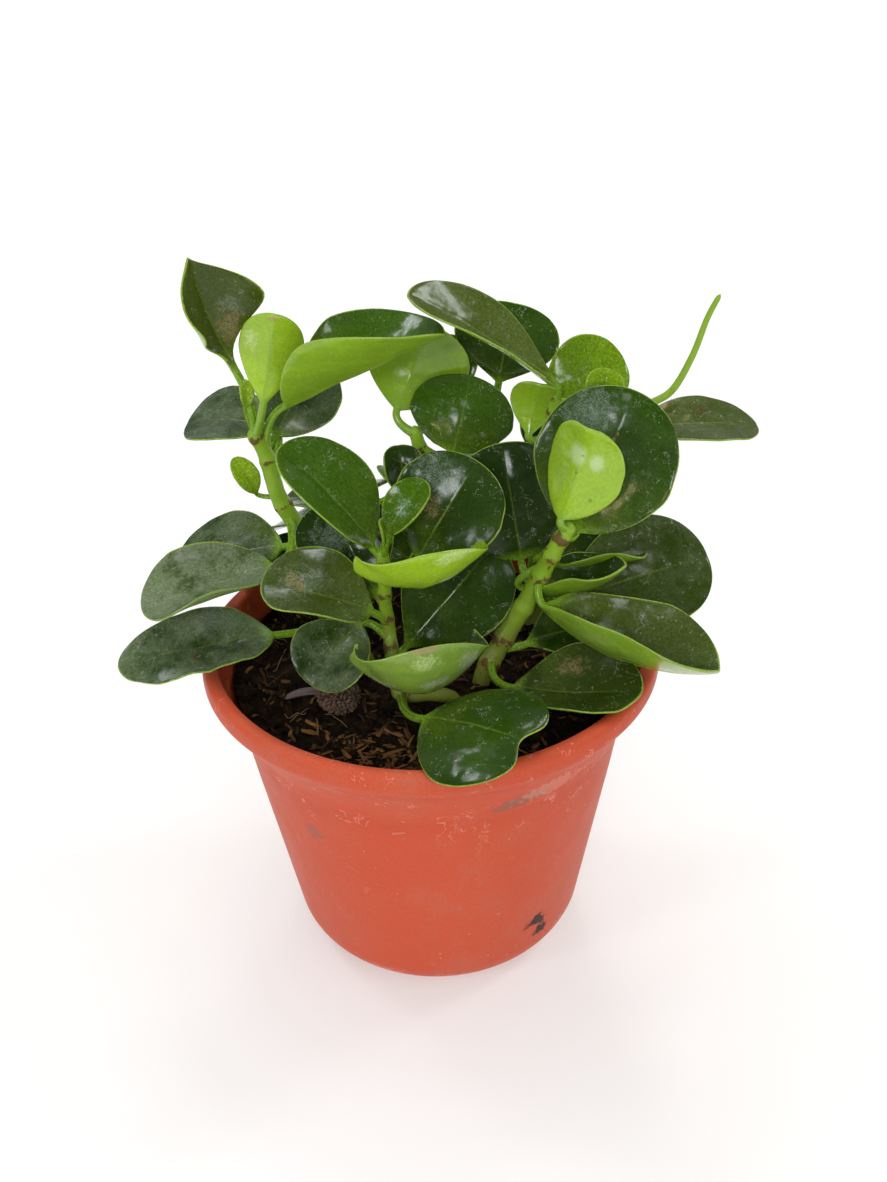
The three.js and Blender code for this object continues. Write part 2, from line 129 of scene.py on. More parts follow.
def ramp(tree, value, low, high, start=0.0, end=1.0):
    sockets = {"Value": value, "From Min": low, "From Max": high, "To Min": start, "To Max": end}
    return addNode(tree, "ShaderNodeMapRange", sockets, interpolation_type="SMOOTHSTEP").outputs["Result"]


def noiseValue(tree, vector, scale, detail=3.0, roughness=0.55, distortion=0.0):
    sockets = {"Vector": vector, "Scale": scale, "Detail": detail, "Roughness": roughness,
               "Distortion": distortion}
    return addNode(tree, "ShaderNodeTexNoise", sockets).outputs["Fac"]


def blend(tree, mask, a, b):  # colour a, and colour b where the mask is 1
    tones = [tone if isinstance(tone, bpy.types.NodeSocket) else (*tone, 1) for tone in (a, b)]
    return addNode(tree, "ShaderNodeMix", {0: mask, 6: tones[0], 7: tones[1]}, data_type="RGBA").outputs[2]


def cover(tree, colour, *layers):  # each layer is a mask and the colour that it lays over the ones below
    for mask, tone in layers:
        colour = blend(tree, mask, colour, tone)
    return colour


def newMaterial(name):
    material = bpy.data.materials.new(name)
    material.use_nodes = True
    tree = material.node_tree
    shader = tree.nodes["Principled BSDF"]
    place = tree.nodes.new("ShaderNodeTexCoord").outputs["Object"]
    return material, tree, shader, place


def wire(tree, shader, specular, **sockets):
    names = {"colour": "Base Color", "roughness": "Roughness", "normal": "Normal"}
    shader.inputs["Specular IOR Level"].default_value = specular
    for key, value in sockets.items():
        tree.links.new(value, shader.inputs[names[key]])


def bumpNormal(tree, height, distance, strength=1.0, normal=None):
    sockets = {"Height": height, "Distance": distance, "Strength": strength}
    if normal:
        sockets["Normal"] = normal
    return addNode(tree, "ShaderNodeBump", sockets).outputs["Normal"]


# Shared effects

def specksGroup():
    group, given, put = newGroup("specks", ["Vector"], {"Scale": 300, "Size": 0.12, "Share": 0.3}, ["Mask"])
    cells = addNode(group, "ShaderNodeTexVoronoi", {"Vector": given["Vector"], "Scale": given["Scale"]})
    spot = maths(group, "LESS_THAN", cells.outputs["Distance"], given["Size"])
    apart = addNode(group, "ShaderNodeSeparateColor", {"Color": cells.outputs["Color"]})
    chosen = maths(group, "LESS_THAN", apart.outputs[0], given["Share"])
    group.links.new(times(group, spot, chosen), put["Mask"])
    return group


def linesGroup():
    numbers = {"Scale": 120, "Width": 0.012, "Share": 0.6}
    group, given, put = newGroup("wanderingLines", ["Vector"], numbers, ["Mask"])
    waves = noiseValue(group, given["Vector"], given["Scale"], detail=2.0, distortion=0.8)
    away = maths(group, "ABSOLUTE", maths(group, "SUBTRACT", waves, 0.5))
    line = maths(group, "LESS_THAN", away, given["Width"])
    area = noiseValue(group, given["Vector"], times(group, given["Scale"], 0.7), detail=1.0)
    here = maths(group, "GREATER_THAN", area, given["Share"])
    group.links.new(times(group, line, here), put["Mask"])
    return group


def spotReach(group, given):  # how far a place lies from a spot's centre, in spot sizes
    kind = "ShaderNodeVectorMath"
    away = addNode(group, kind, {0: given["Vector"], 1: given["Centre"]}, operation="SUBTRACT").outputs[0]
    unit = addNode(group, kind, {0: away, 1: given["Size"]}, operation="DIVIDE").outputs[0]
    return addNode(group, kind, {0: unit}, operation="LENGTH").outputs["Value"]


def stainGroup():  # a torn spot
    numbers = {"Scale": 150, "Ragged": 0.8}
    group, given, put = newGroup("stain", ["Vector", "Centre", "Size"], numbers, ["Mask"])
    rough = noiseValue(group, given["Vector"], given["Scale"], detail=6.0, roughness=0.7)
    push = spread(group, rough, given["Ragged"])
    total = plus(group, spotReach(group, given), times(group, push, 4.0))
    group.links.new(ramp(group, total, 0.75, 1.1, 1.0, 0.0), put["Mask"])
    return group


def markGroup():  # a spot whose edge is pushed in and out by a value that many spots share
    group, given, put = newGroup("mark", ["Vector", "Centre", "Size"], {"Push": 0}, ["Mask"])
    reach = plus(group, spotReach(group, given), given["Push"])
    group.links.new(ramp(group, reach, 0.45, 1.2, 1.0, 0.0), put["Mask"])
    return group


def meshValue(tree, name):  # a number that the mesh holds at each of its points
    return addNode(tree, "ShaderNodeAttribute", attribute_name=name).outputs["Fac"]


def leafPartsGroup():
    masks = ("Stalk", "Base", "Margin", "Rib", "Youth", "Dust", "Olive")
    group, _, put = newGroup("leafParts", [], {}, masks)
    along = meshValue(group, "along")
    inside = meshValue(group, "inside")
    group.links.new(ramp(group, along, -0.02, 0.12, 1.0, 0.0), put["Stalk"])
    group.links.new(ramp(group, along, 0.05, 0.60, 1.0, 0.0), put["Base"])
    group.links.new(ramp(group, inside, 0.20, 0.60, 1.0, 0.0), put["Margin"])
    fade = ramp(group, along, 0.55, 0.95, 1.0, 0.0)
    rib = ramp(group, meshValue(group, "offRib"), 0.15, 0.70, 1.0, 0.0)
    group.links.new(times(group, rib, fade), put["Rib"])
    for name in ("Youth", "Dust", "Olive"):
        group.links.new(meshValue(group, name.lower()), put[name])
    return group


specks = specksGroup()
wanderingLines = linesGroup()
stain = stainGroup()
mark = markGroup()
leafParts = leafPartsGroup()
print("shared effects built")


# Leaf finishes

leafLook = {
    "old": (0.010, 0.029, 0.0015),
    "middle": (0.060, 0.142, 0.005),
    "young": (0.290, 0.480, 0.013),
    "olive": (0.088, 0.108, 0.010),
    "warm": (0.105, 0.165, 0.010),
    "oldUnder": (0.158, 0.285, 0.018),
    "youngUnder": (0.355, 0.570, 0.016),
    "stalk": (0.215, 0.390, 0.022),
    "margin": (0.280, 0.420, 0.050),
    "dust": (0.215, 0.270, 0.150),
    "speck": (0.480, 0.520, 0.400),
    "roughness": 0.13, "filmScale": 60, "cloudScale": 190, "speckScale": 620.0, "lineScale": 300.0,
}
# Each side's marks hold real stains and damage, and also painted highlights, reflections and haze
leafSides = {
    "upper": {
        "pebbleScale": 1100, "pebbleDepth": 0.000025, "pebbleShare": 0.45, "pebbleTone": "old",
        "swellScale": 75, "swellDepth": 0.0010, "specks": 0.16, "speckShare": 0.38, "specular": 0.23,
        "marks": ("filmAndSheen", "paintedWarmReflection", "paintedSheen", "brown")},
    "under": {
        "pebbleScale": 900, "pebbleDepth": 0.00003, "pebbleShare": 0.35, "pebbleTone": "oldUnder",
        "swellScale": 110, "swellDepth": 0.0006, "specks": 0.2, "speckShare": 0.5, "specular": 0.5,
        "marks": ("pale", "paintedShine", "crust", "nick", "dot", "slit")},
}
leafMarks = {
    # The tan spots are painted warm reflections on the upper faces, not stains
    "paintedWarmReflection": {"tone": (0.300, 0.215, 0.095), "strength": 0.6, "spots": (
        ((-68, 20, 260), (5, 6, 8)), ((-49, -20, 176), (4, 4, 4)), ((-47, -23, 173), (2.5, 3, 3)),
        ((-88, 37, 158), (5, 5, 5)), ((2, -10, 200), (4, 5, 5)), ((84, -24, 160), (5, 3, 2)),
        ((55, -30, 140), (7, 4, 4)), ((9, 0, 155), (5, 5, 5)))},
    "brown": {"tone": (0.085, 0.030, 0.014), "strength": 0.9, "spots": (
        ((70, 0, 220), (2.4, 3, 1.6)), ((-88, -23, 146), (1.4, 2.5, 3.5)), ((109, 40, 212), (3, 3, 1)))},
    # The greyish film spots on the upper faces are painted reflection haze where highlights lie
    "filmAndSheen": {"tone": (0.210, 0.270, 0.220), "strength": 0.5, "spots": (
        ((4, -6, 210), (8, 8, 9)), ((-46, -21, 175), (9, 6, 6)), ((61, 7, 228), (11, 9, 9)),
        ((-36, -2, 182), (8, 8, 8)), ((-83, -7, 151), (10, 7, 6)), ((-67, 20, 268), (4, 6, 4)))},
    "crust": {"tone": (0.430, 0.450, 0.340), "strength": 0.8, "spots": (
        ((14, -50, 158), (4, 8, 5)), ((2, -55, 153), (5, 9, 2.5)), ((-16, -48, 150), (7, 9, 3)))},
    "slit": {"tone": (0.070, 0.030, 0.012), "strength": 0.85, "spots": (
        ((77, -42, 145), (3.5, 4, 1.1)), ((71, -40, 147), (2.5, 4, 0.9)))},
    # The pale spots on the undersides are partly a pale film and partly painted highlight
    "pale": {"tone": (0.600, 0.740, 0.330), "strength": 0.6, "spots": (
        ((10, -46, 199), (9, 9, 2.6)), ((-1, -59, 164), (5, 8, 4)),
        ((-60, 12, 257), (3, 4, 4)))},
    # Painted highlights: two soft bright spots on the young folded leaf's underside
    "paintedShine": {"tone": (0.780, 0.880, 0.640), "strength": 0.36, "soft": True, "spots": (
        ((54, -19, 222), (3.6, 6, 5.0)), ((61, -20, 219), (3.0, 6, 4.0)))},
    # Painted sheen: pale blue-grey patches that stand in for highlights
    "paintedSheen": {"tone": (0.400, 0.500, 0.470), "strength": 0.6, "spots": (
        ((-7, -20, 203), (3.6, 5, 5)), ((52, -9, 164), (8, 6, 4)), ((-44, -21, 179), (5, 4, 4)))},
    "nick": {"tone": (0.420, 0.210, 0.150), "strength": 0.85, "spots": (
        ((-1, -59, 169.5), (4.5, 4, 1.7)), ((-51, 8, 266), (2.2, 2, 1)))},
    "dot": {"tone": (0.050, 0.030, 0.012), "strength": 0.9, "spots": (
        ((54, -18, 215), (0.6, 3, 0.6)), ((59, -18, 204), (0.9, 3, 0.9)), ((56, -18, 222), (0.5, 3, 0.5)))},
}


# Lays leaf marks over a colour: stains, scars and crust, and also painted highlights, reflections and haze
def addMarks(tree, place, colour, names):
    push = spread(tree, noiseValue(tree, place, 300, detail=8.0, roughness=0.85), 4.4)
    grains = ramp(tree, noiseValue(tree, place, 1500, detail=2.0), 0.40, 0.58, 0.25, 1.0)
    for name in names:
        marks = leafMarks[name]
        soft = marks.get("soft", False)
        for centre, size in marks["spots"]:
            spot = {"Centre": Vector(centre) * mm, "Size": Vector(size) * mm, "Push": 0 if soft else push}
            share = times(tree, maskOf(tree, mark, place, **spot), marks["strength"])
            if not soft:
                share = times(tree, share, grains)
            colour = blend(tree, share, colour, marks["tone"])
    return colour


def leafColour(tree, youth, place, tones):
    patchy = noiseValue(tree, place, 45, detail=4.0)
    aged = plus(tree, youth, spread(tree, patchy, 0.35), clamp=True)
    if len(tones) == 2:
        return blend(tree, aged, tones[0], tones[1])
    first = blend(tree, ramp(tree, aged, 0.0, 0.5), tones[0], tones[1])
    return blend(tree, ramp(tree, aged, 0.5, 1.0), first, tones[2])


def finishLeaf(sideName, tree, shader, place, colour, rough, lines=0.0):  # what both sides of a leaf share
    side = leafSides[sideName]
    pebble = noiseValue(tree, place, side["pebbleScale"], roughness=0.7)
    dents = ramp(tree, pebble, 0.35, 0.65, side["pebbleShare"], 0.0)
    colour = blend(tree, dents, colour, leafLook[side["pebbleTone"]])
    colour = addMarks(tree, place, colour, side["marks"])
    small = maskOf(tree, specks, place, Scale=leafLook["speckScale"], Size=0.15, Share=side["specks"])
    bits = maths(tree, "MAXIMUM", small, lines)
    colour = blend(tree, times(tree, bits, side["speckShare"]), colour, leafLook["speck"])
    swell = noiseValue(tree, place, side["swellScale"], detail=2.0)
    normal = bumpNormal(tree, swell, side["swellDepth"], 0.7)
    normal = bumpNormal(tree, pebble, side["pebbleDepth"], 0.8, normal)
    wire(tree, shader, side["specular"], colour=colour, roughness=rough, normal=normal)


def makeLeafUpper():
    look = leafLook
    material, tree, shader, place = newMaterial("leafUpper")
    parts = useGroup(tree, leafParts)
    colour = leafColour(tree, parts["Youth"], place, (look["old"], look["middle"], look["young"]))
    warm = times(tree, parts["Base"], ramp(tree, noiseValue(tree, place, 55), 0.40, 0.60, 0.05, 0.55))
    filmAndSheen = noiseValue(tree, place, look["filmScale"], detail=5.0, roughness=0.7)
    dust = times(tree, parts["Dust"], ramp(tree, filmAndSheen, 0.30, 0.65), clamp=True)
    colour = cover(
        tree, colour,
        (times(tree, parts["Olive"], 0.8), look["olive"]),
        (warm, look["warm"]),
        (times(tree, parts["Rib"], 0.22), look["margin"]),
        (times(tree, dust, 0.80), look["dust"]),
        (parts["Margin"], look["margin"]),
        (parts["Stalk"], look["stalk"]))
    lines = maskOf(tree, wanderingLines, place, Scale=look["lineScale"], Width=0.011, Share=0.58)
    rough = plus(tree, look["roughness"], times(tree, dust, 0.22))
    finishLeaf("upper", tree, shader, place, colour, rough, times(tree, lines, 0.7))
    return material


def makeLeafUnder():
    look = leafLook
    material, tree, shader, place = newMaterial("leafUnder")
    parts = useGroup(tree, leafParts)
    colour = leafColour(tree, parts["Youth"], place, (look["oldUnder"], look["youngUnder"]))
    streaky = addNode(tree, "ShaderNodeMapping", {"Vector": place, "Scale": (0.45, 1.0, 1.0)}).outputs[0]
    clouds = noiseValue(tree, streaky, look["cloudScale"], detail=4.0, roughness=0.65)
    colour = cover(
        tree, colour,
        (ramp(tree, clouds, 0.42, 0.62, 0.0, 0.30), look["youngUnder"]),
        (times(tree, parts["Rib"], 0.5), look["stalk"]),
        (times(tree, parts["Margin"], 0.6), look["margin"]),
        (parts["Stalk"], look["stalk"]),
        (times(tree, parts["Dust"], 0.5), look["dust"]))
    rough = ramp(tree, noiseValue(tree, place, 80), 0.3, 0.7, 0.15, 0.26)
    finishLeaf("under", tree, shader, place, colour, rough)
    return material


stemLook = {
    "green": (0.225, 0.385, 0.020),
    "old": (0.172, 0.188, 0.035),
    "scar": (0.105, 0.040, 0.016),
    "streak": (0.090, 0.150, 0.020),
    "specular": 0.35,
}


def makeStemFinish():
    look = stemLook
    material, tree, shader, place = newMaterial("stemGreen")
    low = addNode(tree, "ShaderNodeSeparateXYZ", {0: place}).outputs["Z"]
    ageing = plus(tree, low, times(tree, noiseValue(tree, place, 90), 0.03))
    stretch = addNode(tree, "ShaderNodeMapping", {"Vector": place, "Scale": (1.0, 1.0, 0.16)}).outputs[0]
    thin = noiseValue(tree, stretch, 900, roughness=0.7)
    torn = noiseValue(tree, place, 420, detail=5.0, roughness=0.75)
    sparse = plus(tree, torn, noiseValue(tree, place, 150, detail=1.0))
    patch = times(tree, maths(tree, "SUBTRACT", sparse, 1.0), 4.2)
    scar = ramp(tree, plus(tree, meshValue(tree, "ring"), patch), 0.84, 1.20, 0.0, 0.9)
    colour = cover(
        tree, look["green"],
        (ramp(tree, ageing, 0.145, 0.190, 0.85, 0.0), look["old"]),
        (ramp(tree, thin, 0.6, 0.72, 0.0, 0.55), look["streak"]),
        (scar, look["scar"]))
    rough = plus(tree, 0.36, times(tree, scar, 0.3))
    normal = bumpNormal(tree, torn, 0.0003, 0.5)
    wire(tree, shader, look["specular"], colour=colour, roughness=rough, normal=normal)
    return material


leafUpper = makeLeafUpper()
leafUnder = makeLeafUnder()
stemGreen = makeStemFinish()
print("leaf and stem finishes built")


# Mesh helpers

def addPiece(name, points, faces, materials, slots=None, values=None, nodes=()):  # points in mm
    mesh = bpy.data.meshes.new(name)
    mesh.from_pydata([tuple(p * mm) for p in points], [], faces)
    for material in materials:
        mesh.materials.append(material)
    if slots:
        mesh.polygons.foreach_set("material_index", slots)
    mesh.polygons.foreach_set("use_smooth", [True] * len(faces))
    for key, column in (values or {}).items():
        mesh.attributes.new(key, "FLOAT", "POINT").data.foreach_set("value", column)
    tidyMesh(mesh)
    piece = intoScene(bpy.data.objects.new(name, mesh))
    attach(piece, "root")
    if nodes:
        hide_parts(*nodes)
    return piece


def objectFrom(bm, name):
    mesh = bpy.data.meshes.new(name)
    bm.to_mesh(mesh)
    bm.free()
    return intoScene(bpy.data.objects.new(name, mesh))


def tidyMesh(mesh):  # points that coincide are joined and every face looks outward
    bm = bmesh.new()
    bm.from_mesh(mesh)
    bmesh.ops.remove_doubles(bm, verts=bm.verts, dist=1e-6)
    bmesh.ops.recalc_face_normals(bm, faces=bm.faces)
    bm.to_mesh(mesh)
    bm.free()


def smoothStep(x):
    t = min(1, max(0, x))
    return t * t * (3 - 2 * t)


def mix(a, b, t):
    return a + (b - a) * t


def curvePoint(path, at):  # 2.5 is half way from the third point to the fourth
    i = min(len(path) - 2, max(0, math.floor(at)))
    t = at - i
    p1, p2 = path[i], path[i + 1]
    p0 = path[i - 1] if i > 0 else p1 * 2 - p2
    p3 = path[i + 2] if i + 2 < len(path) else p2 * 2 - p1
    bow = (p2 - p0) * t + (p0 * 2 - p1 * 5 + p2 * 4 - p3) * t * t + (p1 * 3 - p0 - p2 * 3 + p3) * t ** 3
    return p1 + bow * 0.5


def bridge(faces, first, second, count):  # quads between two rings of points
    for k in range(count):
        after = (k + 1) % count
        faces.append((first + k, first + after, second + after, second + k))


def tubeRings(path, radiusAt, sides, stops):  # rings of points round a path's curve
    points = []
    side = Vector((1, 0, 0))
    for at in stops:
        centre = curvePoint(path, at)
        axis = (curvePoint(path, at + 0.02) - curvePoint(path, at - 0.02)).normalized()
        side = (side - axis * side.dot(axis)).normalized()
        up = axis.cross(side)
        radius = radiusAt(at)
        for k in range(sides):
            angle = 2 * math.pi * k / sides
            points.append(centre + side * (radius * math.cos(angle)) + up * (radius * math.sin(angle)))
    return points


def tubeFaces(rings, sides, offset=0):
    faces = []
    for i in range(rings - 1):
        bridge(faces, offset + i * sides, offset + (i + 1) * sides, sides)
    faces.append(tuple(offset + k for k in reversed(range(sides))))
    faces.append(tuple(offset + (rings - 1) * sides + k for k in range(sides)))
    return faces


# Leaves. A stalk widens into a spoon-shaped blade, folded along its midrib and cupped at its sides.

leafShape = {
    "fold": 8, "cup": 10, "arch": 3, "twist": 0, "notch": 0, "stalk": 1.5, "wedge": 1.1, "widest": 0.56,
    "point": 0, "youth": 0.1, "dust": 0.08, "olive": 0, "wave": 0.35, "crease": 2.6,
}
bladeLook = {
    "half": 0.70, "marginHalf": 0.42, "roundFrom": 0.94, "edgeWave": 0.02, "notchWidth": 0.16,
    "ribGroove": 0.14, "ribRidge": 0.35, "ribWidth": 1.1,
    "flare": 0.35, "stalkBend": 0.45, "stalkGroove": 0.3,
}
finePlaces = (0, 0.02, 0.05, 0.1, 0.18, 0.28, 0.4, 0.52, 0.64, 0.75, 0.84, 0.91, 0.955, 0.982, 0.995, 1)
tinyPlaces = (0, 0.06, 0.2, 0.4, 0.6, 0.8, 0.93, 0.985, 1)
tipPlaces = (0.08, 0.18, 0.28, 0.38, 0.48, 0.58, 0.68, 0.77, 0.85, 0.91, 0.955, 0.982, 0.995, 1)
budLength = 20
far = 9  # mm, past every margin and rib line
stalkRows = 9
baseRows = 14
leafValues = ("along", "inside", "offRib", "youth", "dust", "olive")


def roundOff(v):  # the share of a leaf's thickness, which ends in a round edge at 1
    start = bladeLook["roundFrom"]
    return math.sqrt(max(0, 1 - (max(0, v - start) / (1 - start)) ** 2))


def growLeaf(root, spec, seed, sink):
    look = {**leafShape, **spec}
    heel = Vector(look["heel"])
    chord = Vector(look["tip"]) - heel
    length = chord.length
    ahead = chord.normalized()
    face = Vector(look["face"])
    face = (face - ahead * face.dot(ahead)).normalized()
    across = ahead.cross(face)
    width, stalk, widest = look["width"], look["stalk"], look["widest"]
    notchWidth = bladeLook["notchWidth"] * width
    places = finePlaces if length > budLength else tinyPlaces
    columns = [-v for v in reversed(places[1:])] + list(places)
    arch = face * (look["arch"] * 4)

    def tangent(t):
        return (chord + arch * (1 - 2 * t)).normalized()

    def onBlade(t, x, lift):
        axis = tangent(t)
        turn = look["twist"] * radians * (t - 0.4)
        up = across.cross(axis)
        side = across * math.cos(turn) + up * math.sin(turn)
        normal = up * math.cos(turn) - across * math.sin(turn)
        s = abs(x)
        curl = look["cup"] * radians * (0.5 + 0.5 * math.sin(math.pi * min(1, t + 0.1))) / (width / 2)
        a0 = look["fold"] * radians * (1 - 0.4 * t) * smoothStep(s / look["crease"] + 0.15)
        a1 = a0 + curl * s
        if abs(curl * s) > 1e-4:
            sideways = (math.sin(a1) - math.sin(a0)) / curl
            upwards = (math.cos(a0) - math.cos(a1)) / curl
        else:
            sideways = s * math.cos(a0)
            upwards = s * math.sin(a0)
        ripple = noise.noise(Vector((t * length / 9, x / 9, seed))) * look["wave"]
        ripple += noise.noise(Vector((t * length / 4, x / 4, seed + 5))) * look["wave"] * 0.2
        lift += ripple * smoothStep(t * 4)
        out = math.copysign(1, x)
        centre = heel + chord * t + arch * (t * (1 - t))
        sideways -= lift * math.sin(a1)
        upwards += lift * math.cos(a1)
        return centre + side * (out * sideways) + normal * upwards

    count = len(columns)
    first = len(sink["points"])

    def put(point, *spot):
        sink["points"].append(point)
        for key, value in zip(leafValues, (*spot, look["youth"], look["dust"], look["olive"])):
            sink[key].append(value)

    # Stalk, root first
    start = (heel - root).length
    bend = heel - tangent(0) * (bladeLook["stalkBend"] * start)
    frames = []
    normal = across.cross(tangent(0))
    for i in reversed(range(stalkRows)):
        q = i / stalkRows
        place = root * (1 - q) ** 2 + bend * (2 * q * (1 - q)) + heel * q * q
        axis = ((bend - root) * (1 - q) + (heel - bend) * q).normalized()
        normal = (normal - axis * normal.dot(axis)).normalized()
        frames.insert(0, (place, axis, normal, q))
    for place, axis, up, q in frames:
        side = axis.cross(up)
        radius = stalk * (1 + bladeLook["flare"] * (1 - q) ** 3)
        for v in columns:
            groove = 1 - bladeLook["stalkGroove"] * math.exp(-(v / 0.3) ** 2)
            put(place + side * (radius * v) + up * (radius * math.sqrt(1 - v * v) * groove), q - 1, far, far)
        for v in reversed(columns[1:-1]):
            put(place + side * (radius * v) - up * (radius * math.sqrt(1 - v * v)), q - 1, far, far)
    # Blade, straight rows to its widest place and then rows that round into the tip
    rows = [(i / baseRows, 0) for i in range(baseRows + 1)] + [(1, s) for s in tipPlaces]
    for c, s in rows:
        halfWidth = mix(stalk, width / 2, math.sin(c * math.pi / 2) ** look["wedge"])
        halfWidth *= 1 + bladeLook["edgeWave"] * noise.noise(Vector((c * 3 + s * 3, seed, 2)))
        stalkShare = 1 - smoothStep(c / 0.75)
        edge = roundOff(s)
        ribFade = smoothStep(c * 5) * (1 - 0.75 * s)
        for over in (1, -1):
            for v in (columns if over > 0 else reversed(columns[1:-1])):
                x = halfWidth * v * math.sqrt(1 - s * s / 2)
                t = widest * c + (1 - widest) * s * math.sqrt(1 - v * v / 2)
                t -= (look["notch"] / length) * s ** 3 * math.exp(-(x / notchWidth) ** 2)
                x *= 1 - look["point"] * max(0, (t - widest) / (1 - widest)) ** 1.5
                rim = roundOff(abs(v)) * edge
                h = mix(bladeLook["half"], bladeLook["marginHalf"], v * v) * rim
                rib = math.exp(-(x / bladeLook["ribWidth"]) ** 2) * ribFade
                h += rib * (bladeLook["ribRidge"] * (1 - c * 0.5) if over < 0 else -bladeLook["ribGroove"])
                h = mix(h, stalk * math.sqrt(1 - v * v), stalkShare)
                inside = min((1 - abs(v)) * halfWidth, (1 - s) * (1 - widest) * length if s > 0 else far)
                put(onBlade(t, x, over * h), max(t, 0.001), inside + far * stalkShare * (c < 0.2), abs(x))
    ring = 2 * count - 2
    total = stalkRows + len(rows)
    for i in range(total - 1):
        base = first + i * ring
        for k in range(ring):
            after = (k + 1) % ring
            sink["faces"].append((base + k, base + ring + k, base + ring + after, base + after))
            sink["slots"].append(0 if k < count - 1 else 1)
    sink["faces"].append(tuple(first + k for k in range(ring)))
    sink["slots"].append(1)


